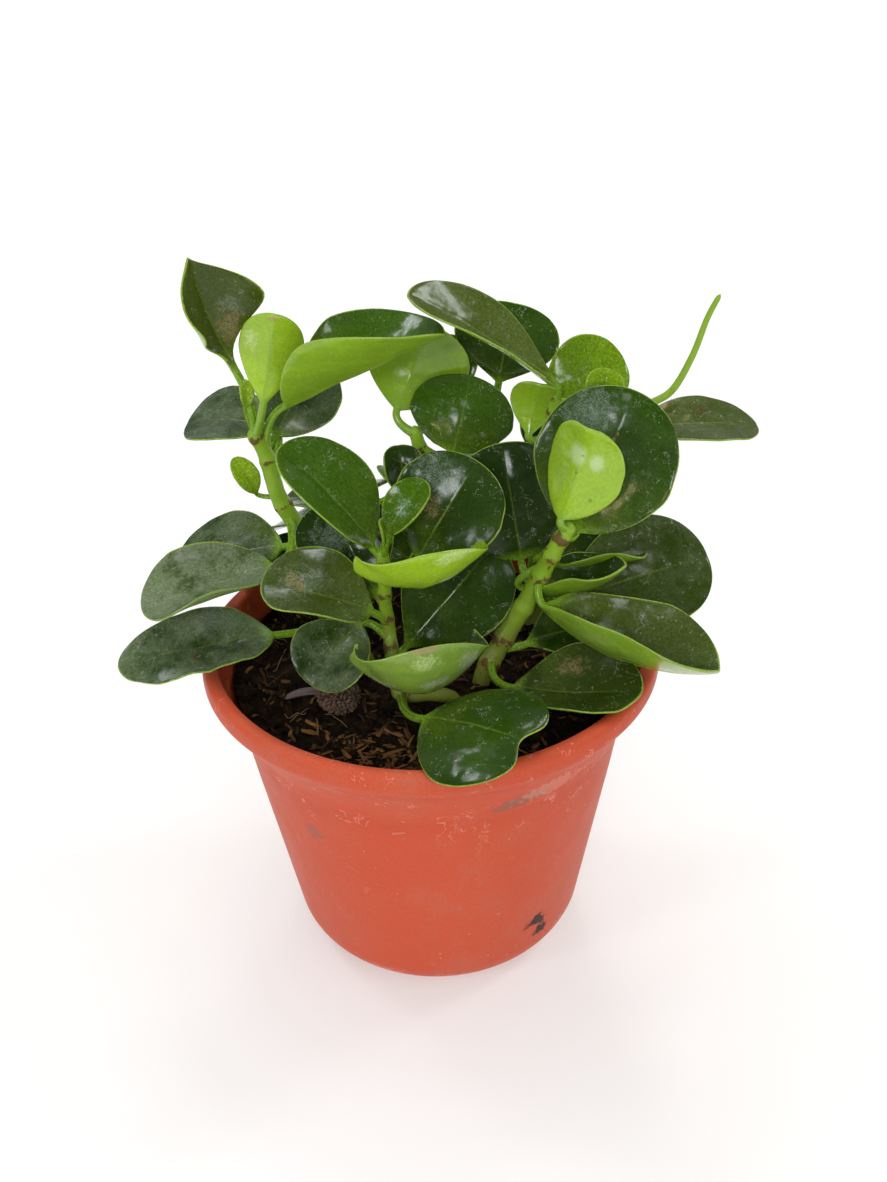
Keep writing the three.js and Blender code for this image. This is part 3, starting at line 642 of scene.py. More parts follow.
leafyStems = {
    "leafy_stem_left": {
        "path": ((-40, 20, 102), (-41, 20, 126), (-45, 20, 147), (-50, 20, 173), (-57, 20, 190),
                 (-60, 20, 207), (-63, 18, 217)),
        "radius": (4, 2.9), "rings": (2.2, 3.75, 4.9, 6),
        "leaves": (
            dict(at=6, heel=(-67.5, 17, 243), tip=(-79, 13, 287), face=(0.74, -0.66, 0.1),
                 width=47, fold=20, cup=66, arch=-3, wedge=3.2, widest=0.55, point=0.95,
                 youth=0.25, olive=0.8),
            dict(at=6, heel=(-58, 12, 233), tip=(-50, 7, 268), face=(-0.1, 0.93, -0.33),
                 width=24, fold=4, cup=22, youth=0.95),
            dict(at=6, heel=(-65.2, 15.9, 230.2), tip=(-65, 17, 240), face=(0.3, -0.8, 0.3),
                 width=6, fold=35, stalk=0.9, youth=0.9),
            dict(at=4.8, heel=(-59, 32, 213), tip=(-92, 37, 214), face=(0, -0.15, 1),
                 width=40, wedge=0.8, youth=0, dust=0.6),
            dict(at=5.2, heel=(-57, 29, 212), tip=(-40, 45, 236), face=(0.2, -0.75, 0.65),
                 width=34, wedge=0.8, youth=0, dust=0.5),
            dict(at=5, heel=(-50, 16, 230), tip=(9, 4, 260), face=(-0.1, 0.08, 1),
                 width=54, fold=32, cup=44, arch=0, widest=0.4, wedge=0.7, point=0.2, youth=0.35),
            dict(at=4, heel=(-66, 22, 191), tip=(-73, 20, 207), face=(0.3, -0.8, 0.5),
                 width=10, fold=15, stalk=0.9, youth=1),
            dict(at=3.2, heel=(-59, 30, 162), tip=(-107, 36, 147), face=(0, -0.35, 1),
                 width=42, widest=0.42, wedge=0.7, youth=0, dust=0.6),
            dict(at=3.5, heel=(-59, 1, 169.5), tip=(-109, -12, 160.5), face=(-0.12, -0.22, 0.96),
                 width=40, fold=2, cup=68, arch=0, wedge=0.6, widest=0.6, youth=0.15, dust=1.3, olive=0.3),
        ),
    },
    "leafy_stem_low_left": {
        "path": ((-22, -8, 104), (-24, -7, 128), (-32, -5, 140), (-45, -4, 143)),
        "radius": (2.8, 2.2), "rings": (3,),
        "leaves": (
            dict(at=3, heel=(-61, -8, 144), tip=(-117, -28, 144), face=(-0.1, -0.34, 0.93),
                 width=33, fold=6, cup=26, arch=2, twist=20, widest=0.34, wedge=0.7, youth=0.05, dust=0.8,
                 wave=1.8),
        ),
    },
    "leafy_stem_front": {
        "path": ((10, -27, 102), (9, -28, 124), (1, -32, 131), (-11, -34, 133), (-14, -28, 141),
                 (-15, -20, 151), (-16, -19, 162), (-16, -19, 172), (-16, -19, 184)),
        "radius": (2.9, 2.3), "rings": (3.1, 4.6, 5.6, 6.6, 7.8),
        "leaves": (
            dict(at=5.4, heel=(-21, -22, 162), tip=(-61, -22, 176), face=(0, -0.36, 0.93),
                 width=37, wedge=0.8, widest=0.5, fold=10, cup=48, arch=2, youth=0.15, dust=0.3, olive=0.7),
            dict(at=4.8, heel=(-26, -18, 154), tip=(-44, -36, 139), face=(-0.3, -0.6, 0.8),
                 width=34, wedge=0.8, youth=0.05, dust=0.7),
            dict(at=8, heel=(-20, -18, 188), tip=(-51, -14, 226), face=(0.5, -0.45, 0.72),
                 width=36, fold=26, cup=12, widest=0.48, wedge=0.9, youth=0.4),
            dict(at=6, heel=(-20, -8, 162), tip=(-40, 10, 192), face=(-0.1, -0.5, 0.86),
                 width=40, fold=15, cup=15, youth=0),
            dict(at=8, heel=(-13.5, -21.5, 194), tip=(1, -17, 213), face=(-0.44, -0.73, 0.52),
                 width=16, fold=14, cup=20, youth=0.55, dust=0),
            dict(at=8, heel=(-16, -19, 188), tip=(-16, -19, 200), face=(0.5, -0.7, 0.3),
                 width=6, fold=35, stalk=0.9, youth=0.7),
            dict(at=7, heel=(-3, -14, 180), tip=(20, -4, 214), face=(-0.05, -0.75, 0.65),
                 width=43, wedge=0.9, youth=0.15),
            dict(at=7, heel=(-9, -29, 181), tip=(8, -48, 202), face=(-0.3, 0.7, 0.68),
                 width=61, fold=2, cup=52, arch=-7, wedge=0.2, widest=0.5, youth=0.9, dust=0.1),
            dict(at=4.4, heel=(-9, -12, 140), tip=(27, 7, 174), face=(0.1, -0.75, 0.65),
                 width=44, youth=0.15),
            dict(at=3.4, heel=(-11, -31, 141.5), tip=(5, -57, 170), face=(-0.2, 0.72, 0.68),
                 width=67, fold=2, cup=80, arch=-12, wedge=0.15, widest=0.5, youth=0.05, dust=0.5),
            dict(at=3, heel=(-2, -61, 141), tip=(36, -91, 150), face=(0.03, -0.27, 0.96),
                 width=50, fold=-1, cup=-19, notch=7, wedge=0.7, widest=0.5, youth=0.15, dust=0.05),
        ),
    },
    "leafy_stem_right": {
        "path": ((20, -15, 102), (20, -15, 124), (27, -12, 139), (36, -12, 156), (43, -13, 172),
                 (48, -15, 184), (52, -15, 191)),
        "radius": (4.4, 2.8), "rings": (1.5, 2.2, 3, 3.9, 4.6, 5.4),
        "leaves": (
            dict(at=5.5, heel=(56, -8, 186), tip=(78, 10, 234), face=(-0.1, -0.8, 0.6),
                 width=53, fold=5, cup=8, wedge=0.65, widest=0.5, youth=0.2, dust=0.1),
            dict(at=6, heel=(49, -18, 197), tip=(57, -21, 234), face=(0.5, 0.83, -0.15),
                 width=34, fold=26, cup=16, widest=0.42, wedge=0.7, youth=0.85, crease=7),
            dict(at=4.4, heel=(55, 0, 151), tip=(110, 10, 163), face=(0.05, -0.65, 0.75),
                 width=47, wedge=0.7, youth=0.05, dust=0.3, olive=0.3),
            dict(at=4.2, heel=(37, -5, 160), tip=(75, -9, 172), face=(0, 0.1, 1),
                 width=35, fold=24, cup=52, wedge=0.45, widest=0.5, arch=-7),
            dict(at=4.6, heel=(47, 6, 164), tip=(86, 13, 165), face=(0, 0, 1),
                 width=33, fold=22, cup=56, wedge=0.5, widest=0.66, arch=-3),
            dict(at=3.9, heel=(43, -19, 161), tip=(105, -46, 147.5), face=(0, 0.08, 1),
                 width=51, fold=44, cup=34, arch=-10, wedge=0.45, widest=0.66,
                 youth=0.2, dust=0.2, olive=0.6),
            dict(at=1.6, heel=(31, -34, 134), tip=(77, -49, 142), face=(0, -0.14, 1),
                 width=42, wedge=0.8, widest=0.5, fold=12, cup=34, arch=-2, youth=0, olive=0.3),
            dict(at=1.9, heel=(38, -10, 138), tip=(74, 0, 138), face=(0.1, -0.3, 1), width=34, youth=0),
            dict(at=3.5, heel=(36, 4, 168), tip=(29, 18, 211), face=(0.05, -0.8, 0.6),
                 width=48, wedge=0.6, youth=0),
        ),
    },
    "leafy_stem_middle": {
        "path": ((0, 28, 102), (0, 28, 130), (0, 28, 155), (-1, 29, 182), (-1, 30, 199), (-3, 30, 210)),
        "radius": (3.8, 2.6), "rings": (2.2, 3.4, 4.4),
        "leaves": (
            dict(at=4.5, heel=(11, 24, 205), tip=(19, 39, 230), face=(0.1, -0.75, 0.66),
                 width=43, fold=-4, cup=-26, arch=5, wedge=0.5, widest=0.5, youth=0.3, dust=0.1),
            dict(at=5, heel=(-10, 34, 219), tip=(4, 42, 250), face=(0, 0.9, -0.35),
                 width=43, fold=6, cup=18, wedge=0.9, youth=0.3),
            dict(at=5, heel=(7, 48, 218), tip=(14, 56, 240), face=(0.1, -0.8, 0.5), width=22, youth=0.3),
            dict(at=4, heel=(-9, 8, 197), tip=(-10, 12, 214), face=(0.3, -0.8, 0.3),
                 width=18, fold=30),
            dict(at=1.8, heel=(-8, 36, 150), tip=(-27, 44, 160), face=(0, -0.5, 0.85), width=28, youth=0),
        ),
    },
    "leafy_stem_back_right": {
        "path": ((42, 26, 102), (43, 25, 130), (44, 24, 165), (46, 24, 196), (48, 25, 212), (50, 24, 225)),
        "radius": (3.8, 2.5), "rings": (2.2, 3, 3.9, 4.6),
        "leaves": (
            dict(at=5, heel=(50, 22, 232), tip=(-4, 13, 271), face=(0, -0.25, 1),
                 width=34, fold=20, cup=22, arch=2, youth=0.3, dust=0.2, olive=0.9),
            dict(at=4.6, heel=(48, 30, 226), tip=(78, 36, 234), face=(0, -0.75, 0.65),
                 width=31, cup=20, wedge=0.7, widest=0.5, youth=0.75, dust=0),
            dict(at=5, heel=(66, 20, 227), tip=(69, 19, 239), face=(0, -0.9, 0.4),
                 width=16, fold=20, cup=20, stalk=1, youth=0.8, dust=0),
            dict(at=3.8, heel=(40, 21, 213), tip=(44, 19, 234), face=(0, 0.9, -0.3),
                 width=20, fold=10, cup=20, youth=0.5),
            dict(at=3.3, heel=(78, 31, 207), tip=(131, 36, 206), face=(0.05, -0.2, 1),
                 width=31, dust=0.3, olive=0.7),
            dict(at=2.8, heel=(44, 33, 198), tip=(48, 42, 217), face=(0, -0.8, 0.5), width=18, youth=0),
        ),
        "spike": ((47, 24, 200), (58, 24, 205), (72, 23, 210), (84, 24, 221), (94, 25, 227),
                  (101, 26, 240), (106, 28, 254), (110, 28, 263)),
    },
    "leafy_stem_back_left": {
        "path": ((-26, 46, 102), (-27, 47, 130), (-25, 50, 152), (-22, 52, 168)),
        "radius": (3.4, 2.6), "rings": (1.4, 2.1, 2.8),
        "leaves": (
            dict(at=2, heel=(-36, 60, 155), tip=(-72, 76, 144), face=(-0.2, 0.3, 1), width=38),
            dict(at=3, heel=(-26, 66, 168), tip=(-34, 99, 152), face=(0, 0.5, 0.9), width=40, youth=0.2),
            dict(at=3, heel=(-12, 60, 171), tip=(0, 87, 162), face=(0, 0.1, 1), width=36, youth=0.35),
            dict(at=2.6, heel=(-36, 50, 166), tip=(-60, 56, 170), face=(0, 0.1, 1), width=28, youth=0.2),
            dict(at=1.4, heel=(-38, 46, 144), tip=(-80, 52, 140), face=(-0.1, -0.1, 1), width=34, youth=0),
        ),
    },
    "leafy_stem_back": {
        "path": ((17, 54, 102), (18, 54, 130), (21, 57, 160), (25, 55, 190), (28, 50, 206)),
        "radius": (3.6, 2.4), "rings": (1.5, 2.2, 3, 3.8),
        "leaves": (
            dict(at=4, heel=(30, 47, 224), tip=(37, 57, 252), face=(-0.1, -0.85, 0.5), width=42, youth=0.2),
            dict(at=2, heel=(34, 70, 166), tip=(54, 98, 154), face=(0.2, 0.4, 0.9), width=40),
            dict(at=2.4, heel=(16, 74, 174), tip=(8, 104, 165), face=(0, 0.4, 0.9), width=38, youth=0.2),
            dict(at=3, heel=(42, 60, 186), tip=(76, 72, 190), face=(0.1, 0, 1), width=38, youth=0.25),
            dict(at=1.5, heel=(34, 60, 141), tip=(62, 72, 136), face=(0.1, 0.2, 1), width=34, youth=0),
        ),
    },
}
stemShape = {
    "sides": 22, "step": 0.08, "bulge": 0.18, "ringWidth": 2.0, "wobble": 0.07,
    "cap": 0.3, "capStops": (0.08, 0.16, 0.22, 0.27, 0.3),
    "spikeRadius": (1.9, 1.0), "spikeSides": 16, "spikeStep": 0.06, "spikeCap": 0.25,
}


def growStem(name, stem):
    shape = stemShape
    path = [Vector(p) for p in stem["path"]]
    ends = len(path) - 1
    rings = [curvePoint(path, at) for at in stem["rings"]]

    def ringAt(at):
        here = curvePoint(path, at)
        near = min((here - ring).length for ring in rings)
        return math.exp(-(near / shape["ringWidth"]) ** 2)

    def radiusAt(at):
        taper = mix(stem["radius"][0], stem["radius"][1], min(at, ends) / ends)
        ending = math.sqrt(max(0.02, 1 - max(0, (at - ends) / shape["cap"]) ** 2))
        return taper * (1 + shape["bulge"] * ringAt(at)) * ending

    stops = [i * shape["step"] for i in range(int(ends / shape["step"]) + 1)] + [ends]
    stops += [ends + stop for stop in shape["capStops"]]
    sides = shape["sides"]
    points = []
    ringValues = []
    for index, point in enumerate(tubeRings(path, radiusAt, sides, stops)):
        at = stops[index // sides]
        centre = curvePoint(path, at)
        wobble = 1 + shape["wobble"] * noise.noise(point / 3)
        points.append(centre + (point - centre) * wobble)
        ringValues.append(ringAt(at))
    faces = tubeFaces(len(stops), sides)
    addPiece(f"{name}_stem", points, faces, [stemGreen], values={"ring": ringValues}, nodes=(name,))


def growLeaves(name, stem, seed):
    path = [Vector(p) for p in stem["path"]]
    sink = {key: [] for key in ("points", "faces", "slots", *leafValues)}
    for index, spec in enumerate(stem["leaves"]):
        growLeaf(curvePoint(path, spec["at"]), spec, seed + index * 7.3, sink)
    values = {key: sink[key] for key in leafValues}
    addPiece(f"{name}_leaves", sink["points"], sink["faces"], [leafUpper, leafUnder],
             slots=sink["slots"], values=values, nodes=(name,))


def growSpike(node, route):
    path = [Vector(p) for p in route]
    ends = len(path) - 1
    step, sides, cap = stemShape["spikeStep"], stemShape["spikeSides"], stemShape["spikeCap"]
    stops = [i * step for i in range(int(ends / step))] + [ends]
    start, end = stemShape["spikeRadius"]

    def radiusAt(at):
        return mix(start, end, at / ends) * math.sqrt(max(0.03, 1 - max(0, (at - ends + cap) / cap) ** 2))

    points = tubeRings(path, radiusAt, sides, stops)
    values = {"ring": [0.0] * len(points)}
    faces = tubeFaces(len(stops), sides)
    addPiece("flower_spike", points, faces, [stemGreen], values=values, nodes=(node,))


for number, (stemName, stemSpec) in enumerate(leafyStems.items()):
    growStem(stemName, stemSpec)
    growLeaves(stemName, stemSpec, number * 31.7)
growSpike("leafy_stem_back_right", leafyStems["leafy_stem_back_right"]["spike"])
print("leafy stems grown")


# Pot

potShape = {
    "rimRadius": 90, "height": 137.5, "baseRadius": 61.6, "baseEdge": 19, "baseTurn": 82,
    "neckRadius": 73.4, "neckHeight": 86, "ringHeight": 107, "ringStep": 0.7, "neckSlope": 0.16,
    "wall": 2.6, "floor": 3.2, "drainRadius": 5, "drainCircle": 30, "drains": 4,
    "sides": 192, "creaseAngle": 40,
}
potLook = {
    "plastic": (0.545, 0.078, 0.032),
    "faded": (0.570, 0.102, 0.046),
    "filmAndSheen": (0.470, 0.145, 0.095),
    "deep": (0.470, 0.050, 0.022),
    "chalk": (0.700, 0.330, 0.250),
    "roughness": 0.40, "specular": 0.15,
}
potMarks = {
    "scuff": {"tone": (0.230, 0.105, 0.080), "strength": 0.5, "scale": 260.0, "spots": (
        ((34, -70, 112), (13, 12, 3.2)), ((-46, -58, 87), (5, 5, 3.4)), ((28, -73, 110), (7, 6, 3)))},
    "chalk": {"tone": potLook["chalk"], "strength": 0.3, "scale": 420.0, "spots": (
        ((-25, -56, 6), (14, 8, 6)), ((6, -60, 5), (16, 8, 5)), ((44, -66, 113), (16, 10, 4)),
        ((54, -36, 12), (8, 12, 6)), ((-66, 50, 60), (10, 12, 14)), ((30, 70, 40), (16, 8, 10)))},
    "soot": {"tone": (0.020, 0.010, 0.008), "strength": 0.95, "scale": 230.0, "spots": (
        ((38, -48, 30), (6, 6, 3.4)), ((40, -46, 23), (4, 4, 3.6)))},
}


def smoothRun(points, steps):
    path = [Vector((r, z, 0)) for r, z in points]
    count = (len(path) - 1) * steps
    return [curvePoint(path, i / steps)[:2] for i in range(count + 1)]


def potProfile():
    shape = potShape
    flat = shape["baseRadius"] - shape["baseEdge"]
    outline = [(flat * share, 0) for share in (0.35, 0.6, 0.8, 0.92, 1)]
    for k in range(1, 15):
        angle = k / 14 * shape["baseTurn"] * radians
        out, up = math.sin(angle), 1 - math.cos(angle)
        outline.append((flat + shape["baseEdge"] * out, shape["baseEdge"] * up))
    low = outline[-1]
    neck = (shape["neckRadius"], shape["neckHeight"])
    outline += [(mix(low[0], neck[0], k / 6), mix(low[1], neck[1], k / 6)) for k in range(1, 7)]
    ringRadius = shape["neckRadius"] + shape["neckSlope"] * (shape["ringHeight"] - shape["neckHeight"])
    ring = (ringRadius, shape["ringHeight"])
    outline += [(mix(neck[0], ring[0], k / 4), mix(neck[1], ring[1], k / 4)) for k in range(1, 4)]
    step = shape["ringStep"]
    bead = ((-0.05, -0.35), (0.05, 0.1), (0.3, 0.4), (step - 0.12, 0.62), (step, 0.95))
    outline += [(ring[0] + r, ring[1] + z) for r, z in bead]
    top = shape["height"]
    rim = shape["rimRadius"]
    outline += smoothRun([(ring[0] + step + 0.05, ring[1] + 1.4), (78.7, 113), (81.7, 120), (85.6, 125.4),
                          (88.7, 128.2), (rim - 0.1, 130.6), (rim - 0.1, 134.4), (rim - 0.8, 136.4),
                          (rim - 2.6, top - 0.1), (85.2, top - 0.3), (83.7, 136), (82.4, 130.5), (80.4, 124),
                          (77.8, 117)], 5)
    wall = shape["wall"]
    outline += [(ring[0] - wall, ring[1]), (neck[0] - wall, neck[1]),
                (shape["baseRadius"] - wall, shape["baseEdge"] + 2), (flat, shape["floor"])]
    return outline


def lathe(outline, sides, bottom, top):  # a closed turned body, with a middle point at each end
    points = [Vector((0, 0, bottom))]
    for r, z in outline:
        for k in range(sides):
            angle = 2 * math.pi * k / sides
            points.append(Vector((r * math.cos(angle), r * math.sin(angle), z)))
    points.append(Vector((0, 0, top)))
    faces = []
    for k in range(sides):
        faces.append((0, 1 + (k + 1) % sides, 1 + k))
    for i in range(len(outline) - 1):
        bridge(faces, 1 + i * sides, 1 + (i + 1) * sides, sides)
    last = 1 + (len(outline) - 1) * sides
    for k in range(sides):
        faces.append((last + k, last + (k + 1) % sides, len(points) - 1))
    return points, faces


def cutDrains(pot):
    shape = potShape
    cutters = []
    for k in range(shape["drains"]):
        angle = (k + 0.5) / shape["drains"] * 2 * math.pi
        place = Vector((math.cos(angle), math.sin(angle), 0)) * (shape["drainCircle"] * mm)
        bm = bmesh.new()
        radius = shape["drainRadius"] * mm
        bmesh.ops.create_cone(bm, cap_ends=True, segments=40, radius1=radius, radius2=radius, depth=0.02)
        bmesh.ops.translate(bm, verts=bm.verts, vec=place)
        cutter = objectFrom(bm, "drain")
        cutters.append(cutter)
        cut = pot.modifiers.new("drain", "BOOLEAN")
        cut.operation = "DIFFERENCE"
        cut.object = cutter
    settle(pot)
    for cutter in cutters:
        bpy.data.objects.remove(cutter)


def settle(piece):  # the modifiers' result becomes the mesh
    graph = bpy.context.evaluated_depsgraph_get()
    mesh = bpy.data.meshes.new_from_object(piece.evaluated_get(graph))
    piece.modifiers.clear()
    piece.data = mesh


def markSharp(piece, angle):
    bm = bmesh.new()
    bm.from_mesh(piece.data)
    for edge in bm.edges:
        edge.smooth = edge.calc_face_angle(0) < angle * radians
    bm.to_mesh(piece.data)
    bm.free()


def addStains(tree, place, colour):
    for marks in potMarks.values():
        for centre, size in marks["spots"]:
            spot = {"Centre": Vector(centre) * mm, "Size": Vector(size) * mm, "Scale": marks["scale"]}
            mask = maskOf(tree, stain, place, **spot)
            colour = blend(tree, times(tree, mask, marks["strength"]), colour, marks["tone"])
    return colour


def makePotFinish():
    look = potLook
    material, tree, shader, place = newMaterial("potPlastic")
    height = addNode(tree, "ShaderNodeSeparateXYZ", {0: place}).outputs["Z"]
    broad = noiseValue(tree, place, 14, detail=4.0, roughness=0.6)
    cloudy = noiseValue(tree, place, 60, detail=6.0, roughness=0.75)
    grain = noiseValue(tree, place, 1200, detail=2.0)
    # A darker band just below the ring step: painted shade under the ring and the rim flare
    under = times(tree, ramp(tree, height, 0.104, 0.108, 0.25, 0.0), ramp(tree, height, 0.095, 0.107))
    dusty = times(tree, ramp(tree, cloudy, 0.42, 0.66), ramp(tree, broad, 0.40, 0.62, 0.05, 0.36))
    lines = maskOf(tree, wanderingLines, place, Scale=150.0, Width=0.012, Share=0.60)
    grit = maskOf(tree, specks, place, Scale=260.0, Size=0.1, Share=0.12)
    colour = blend(tree, ramp(tree, broad, 0.35, 0.75, 0.0, 0.5), look["plastic"], look["faded"])
    colour = cover(
        tree, colour,
        (under, look["deep"]),
        (ramp(tree, cloudy, 0.5, 0.8, 0.0, 0.4), look["faded"]),
        (dusty, look["filmAndSheen"]),
        (ramp(tree, grain, 0.30, 0.55, 0.35, 0.0), look["deep"]),
        (times(tree, lines, ramp(tree, height, 0.085, 0.110, 0.10, 0.45)), look["chalk"]),
        (times(tree, grit, 0.6), look["chalk"]))
    colour = addStains(tree, place, colour)
    rough = ramp(tree, cloudy, 0.3, 0.8, look["roughness"], look["roughness"] + 0.16)
    normal = bumpNormal(tree, noiseValue(tree, place, 35, detail=2.0), 0.0008, 0.5)
    normal = bumpNormal(tree, grain, 0.00005, 0.6, normal)
    wire(tree, shader, look["specular"], colour=colour, roughness=rough, normal=normal)
    return material


potPoints, potFaces = lathe(potProfile(), potShape["sides"], 0, potShape["floor"])
pot = addPiece("pot_body", potPoints, potFaces, [makePotFinish()], nodes=("pot",))
cutDrains(pot)
markSharp(pot, potShape["creaseAngle"])
print("pot made")


# Soil

soilShape = {
    "level": 126, "gap": 0.25, "rings": 90, "sides": 240, "clodAt": (-35, -29), "clodSize": 8.5,
    "chips": 820, "chipDrift": (-10, -62), "straws": 34, "crumbs": 1100, "reach": 78.5, "strawReach": 66,
    "side": ((77.8, 117), (74.1, 107), (70.7, 86), (59, 21), (42.5, 3.5)),
}
soilLook = {
    "dark": (0.006, 0.0035, 0.002),
    "brown": (0.036, 0.018, 0.008),
    "chipDark": (0.030, 0.014, 0.006),
    "chipPale": (0.210, 0.100, 0.030),
    "strawPale": (0.260, 0.170, 0.080),
    "clod": (0.215, 0.140, 0.095),
}
chance = random.Random(7)
noise.seed_set(7)  # unseeded, noise_vector takes its offset from the clock


def soilHeight(x, y):
    level = soilShape["level"] - 1.2 + 0.8 * math.sin(x / 9 + 1) * math.cos(y / 11)
    return level + 0.5 * math.sin((x + y) / 5.3) + 0.4 * math.cos((x - 2 * y) / 6.1)


def soilRough(x, y):
    place = Vector((x, y, 0))
    lumps = noise.fractal(place / 6, 0.9, 2.1, 5) * 1.3
    pits = noise.fractal(place / 1.6 + Vector((9, 3, 1)), 0.8, 2.0, 3) * 0.5
    return soilHeight(x, y) + lumps + pits


def makeEarthFinish():
    look = soilLook
    material, tree, shader, place = newMaterial("earth")
    patchy = noiseValue(tree, place, 160, detail=6.0, roughness=0.75)
    colour = blend(tree, ramp(tree, patchy, 0.42, 0.72), look["dark"], look["brown"])
    fleck = maskOf(tree, specks, place, Scale=420.0, Size=0.22, Share=0.14)
    colour = blend(tree, times(tree, fleck, 0.7), colour, look["chipDark"])
    fine = noiseValue(tree, place, 900, detail=5.0, roughness=0.75)
    normal = bumpNormal(tree, fine, 0.0007, 0.9)
    wire(tree, shader, 0.12, colour=colour, normal=normal)
    shader.inputs["Roughness"].default_value = 0.9
    return material


def makeChipFinish(name, dark, pale, roughness=0.8):
    material, tree, shader, place = newMaterial(name)
    fibre = noiseValue(tree, place, 700, detail=4.0, roughness=0.7)
    tone = plus(tree, meshValue(tree, "shade"), spread(tree, fibre, 0.7), clamp=True)
    colour = blend(tree, tone, dark, pale)
    wire(tree, shader, 0.16, colour=colour, normal=bumpNormal(tree, fibre, 0.0004, 0.8))
    shader.inputs["Roughness"].default_value = roughness
    return material


def makeSoil():
    shape = soilShape
    edge = shape["reach"]
    points = []
    faces = []
    sides = shape["sides"]
    for i in range(shape["rings"]):
        radius = edge * (i + 0.5) / (shape["rings"] - 0.5)
        for k in range(sides):
            angle = 2 * math.pi * (k + 0.5 * (i % 2)) / sides
            x, y = radius * math.cos(angle), radius * math.sin(angle)
            points.append(Vector((x, y, soilRough(x, y))))
    for i in range(shape["rings"] - 1):
        bridge(faces, i * sides, (i + 1) * sides, sides)
    faces.append(tuple(reversed(range(sides))))
    start = len(points) - sides
    gap = shape["gap"]
    for r, z in shape["side"]:
        for k in range(sides):
            angle = 2 * math.pi * k / sides
            points.append(Vector(((r - gap) * math.cos(angle), (r - gap) * math.sin(angle), z + gap)))
        bridge(faces, start, len(points) - sides, sides)
        start = len(points) - sides
    faces.append(tuple(start + k for k in range(sides)))
    earth = makeEarthFinish()
    addPiece("soil_fill", points, faces, [earth], nodes=("soil",))
    return earth


def crumb(points, faces, centre, size, seed):
    bm = bmesh.new()
    bmesh.ops.create_icosphere(bm, subdivisions=1, radius=1)
    offset = len(points)
    for vert in bm.verts:
        p = vert.co.copy()
        swell = 1 + 0.5 * noise.fractal(p * 1.7 + Vector((seed, 0, 0)), 0.8, 2.1, 4)
        points.append(centre + Vector((p.x, p.y, p.z * 0.8)) * (size * swell))
    for face in bm.faces:
        faces.append(tuple(offset + v.index for v in face.verts))
    bm.free()


def onSoil(reach):
    angle = chance.uniform(0, 2 * math.pi)
    radius = reach * math.sqrt(chance.uniform(0, 1))
    return radius * math.cos(angle), radius * math.sin(angle)


def flake(points, faces, centre, length, width, thick, turn, tilt, bend):  # a splinter of wood
    ahead = Vector((math.cos(turn) * math.cos(tilt), math.sin(turn) * math.cos(tilt), math.sin(tilt)))
    side = Vector((-math.sin(turn), math.cos(turn), chance.uniform(-0.5, 0.5))).normalized()
    up = ahead.cross(side).normalized()
    offset = len(points)
    stages = 5
    for i in range(stages):
        t = i / (stages - 1) - 0.5
        half = width * (0.5 - 0.25 * abs(t)) * chance.uniform(0.7, 1.15)
        middle = centre + ahead * (length * t) + up * (bend * (0.25 - t * t) * 4)
        middle += side * chance.uniform(-0.2, 0.2)
        for s, h in ((-1, -0.5), (1, -0.5), (1, 0.5), (-1, 0.5)):
            points.append(middle + side * (s * half) + up * (h * thick * (1 - abs(t))))
    for i in range(stages - 1):
        bridge(faces, offset + i * 4, offset + (i + 1) * 4, 4)
    last = offset + (stages - 1) * 4
    faces.append((offset + 3, offset + 2, offset + 1, offset))
    faces.append((last, last + 1, last + 2, last + 3))
    return stages * 4


def makeChips():  # every fourth one lies in the drift at the front
    points, faces, shades = [], [], []
    driftX, driftY = soilShape["chipDrift"]
    for index in range(soilShape["chips"]):
        if index % 4 == 0:
            x, y = chance.gauss(driftX, 22), chance.gauss(driftY, 9)
        else:
            x, y = onSoil(soilShape["reach"] - 2)
        length = chance.uniform(2, 6) if index % 6 else chance.uniform(6, 11)
        if math.hypot(x, y) > soilShape["reach"] - 1 - length * 0.45:
            continue
        pale = 0.9 * chance.uniform(0, 1) ** 3.6
        if index % 4 == 0:
            pale = chance.uniform(0.05, 0.85)
        centre = Vector((x, y, soilRough(x, y) + chance.uniform(0.1, 0.9)))
        made = flake(points, faces, centre, length, chance.uniform(0.5, 2.0), chance.uniform(0.3, 0.8),
                     chance.uniform(0, 2 * math.pi), chance.uniform(-0.4, 0.4), chance.uniform(-0.6, 0.6))
        shades += [pale] * made
    finish = makeChipFinish("woodChips", soilLook["chipDark"], soilLook["chipPale"])
    addPiece("soil_chips", points, faces, [finish], values={"shade": shades})


def makeStraws():
    points, faces, shades = [], [], []
    for index in range(soilShape["straws"]):
        x, y = onSoil(soilShape["strawReach"]) if index % 2 else (chance.gauss(-58, 12), chance.gauss(0, 22))
        if math.hypot(x, y) > soilShape["strawReach"]:
            continue
        turn = chance.uniform(0, 2 * math.pi)
        length = chance.uniform(6, 15)
        path = []
        for i in range(5):
            t = i / 4 - 0.5
            px = x + length * t * math.cos(turn) + chance.uniform(-1, 1)
            py = y + length * t * math.sin(turn) + chance.uniform(-1, 1)
            path.append(Vector((px, py, soilRough(px, py) + 0.6 + chance.uniform(0, 1.6))))
        radius = chance.uniform(0.12, 0.22)
        stops = [i / 4 for i in range(17)]
        offset = len(points)
        points += tubeRings(path, lambda at: radius, 6, stops)
        faces += tubeFaces(len(stops), 6, offset)
        shades += [chance.uniform(0.1, 0.9)] * (len(stops) * 6)
    finish = makeChipFinish("straw", soilLook["chipDark"], soilLook["strawPale"])
    addPiece("soil_straws", points, faces, [finish], values={"shade": shades})


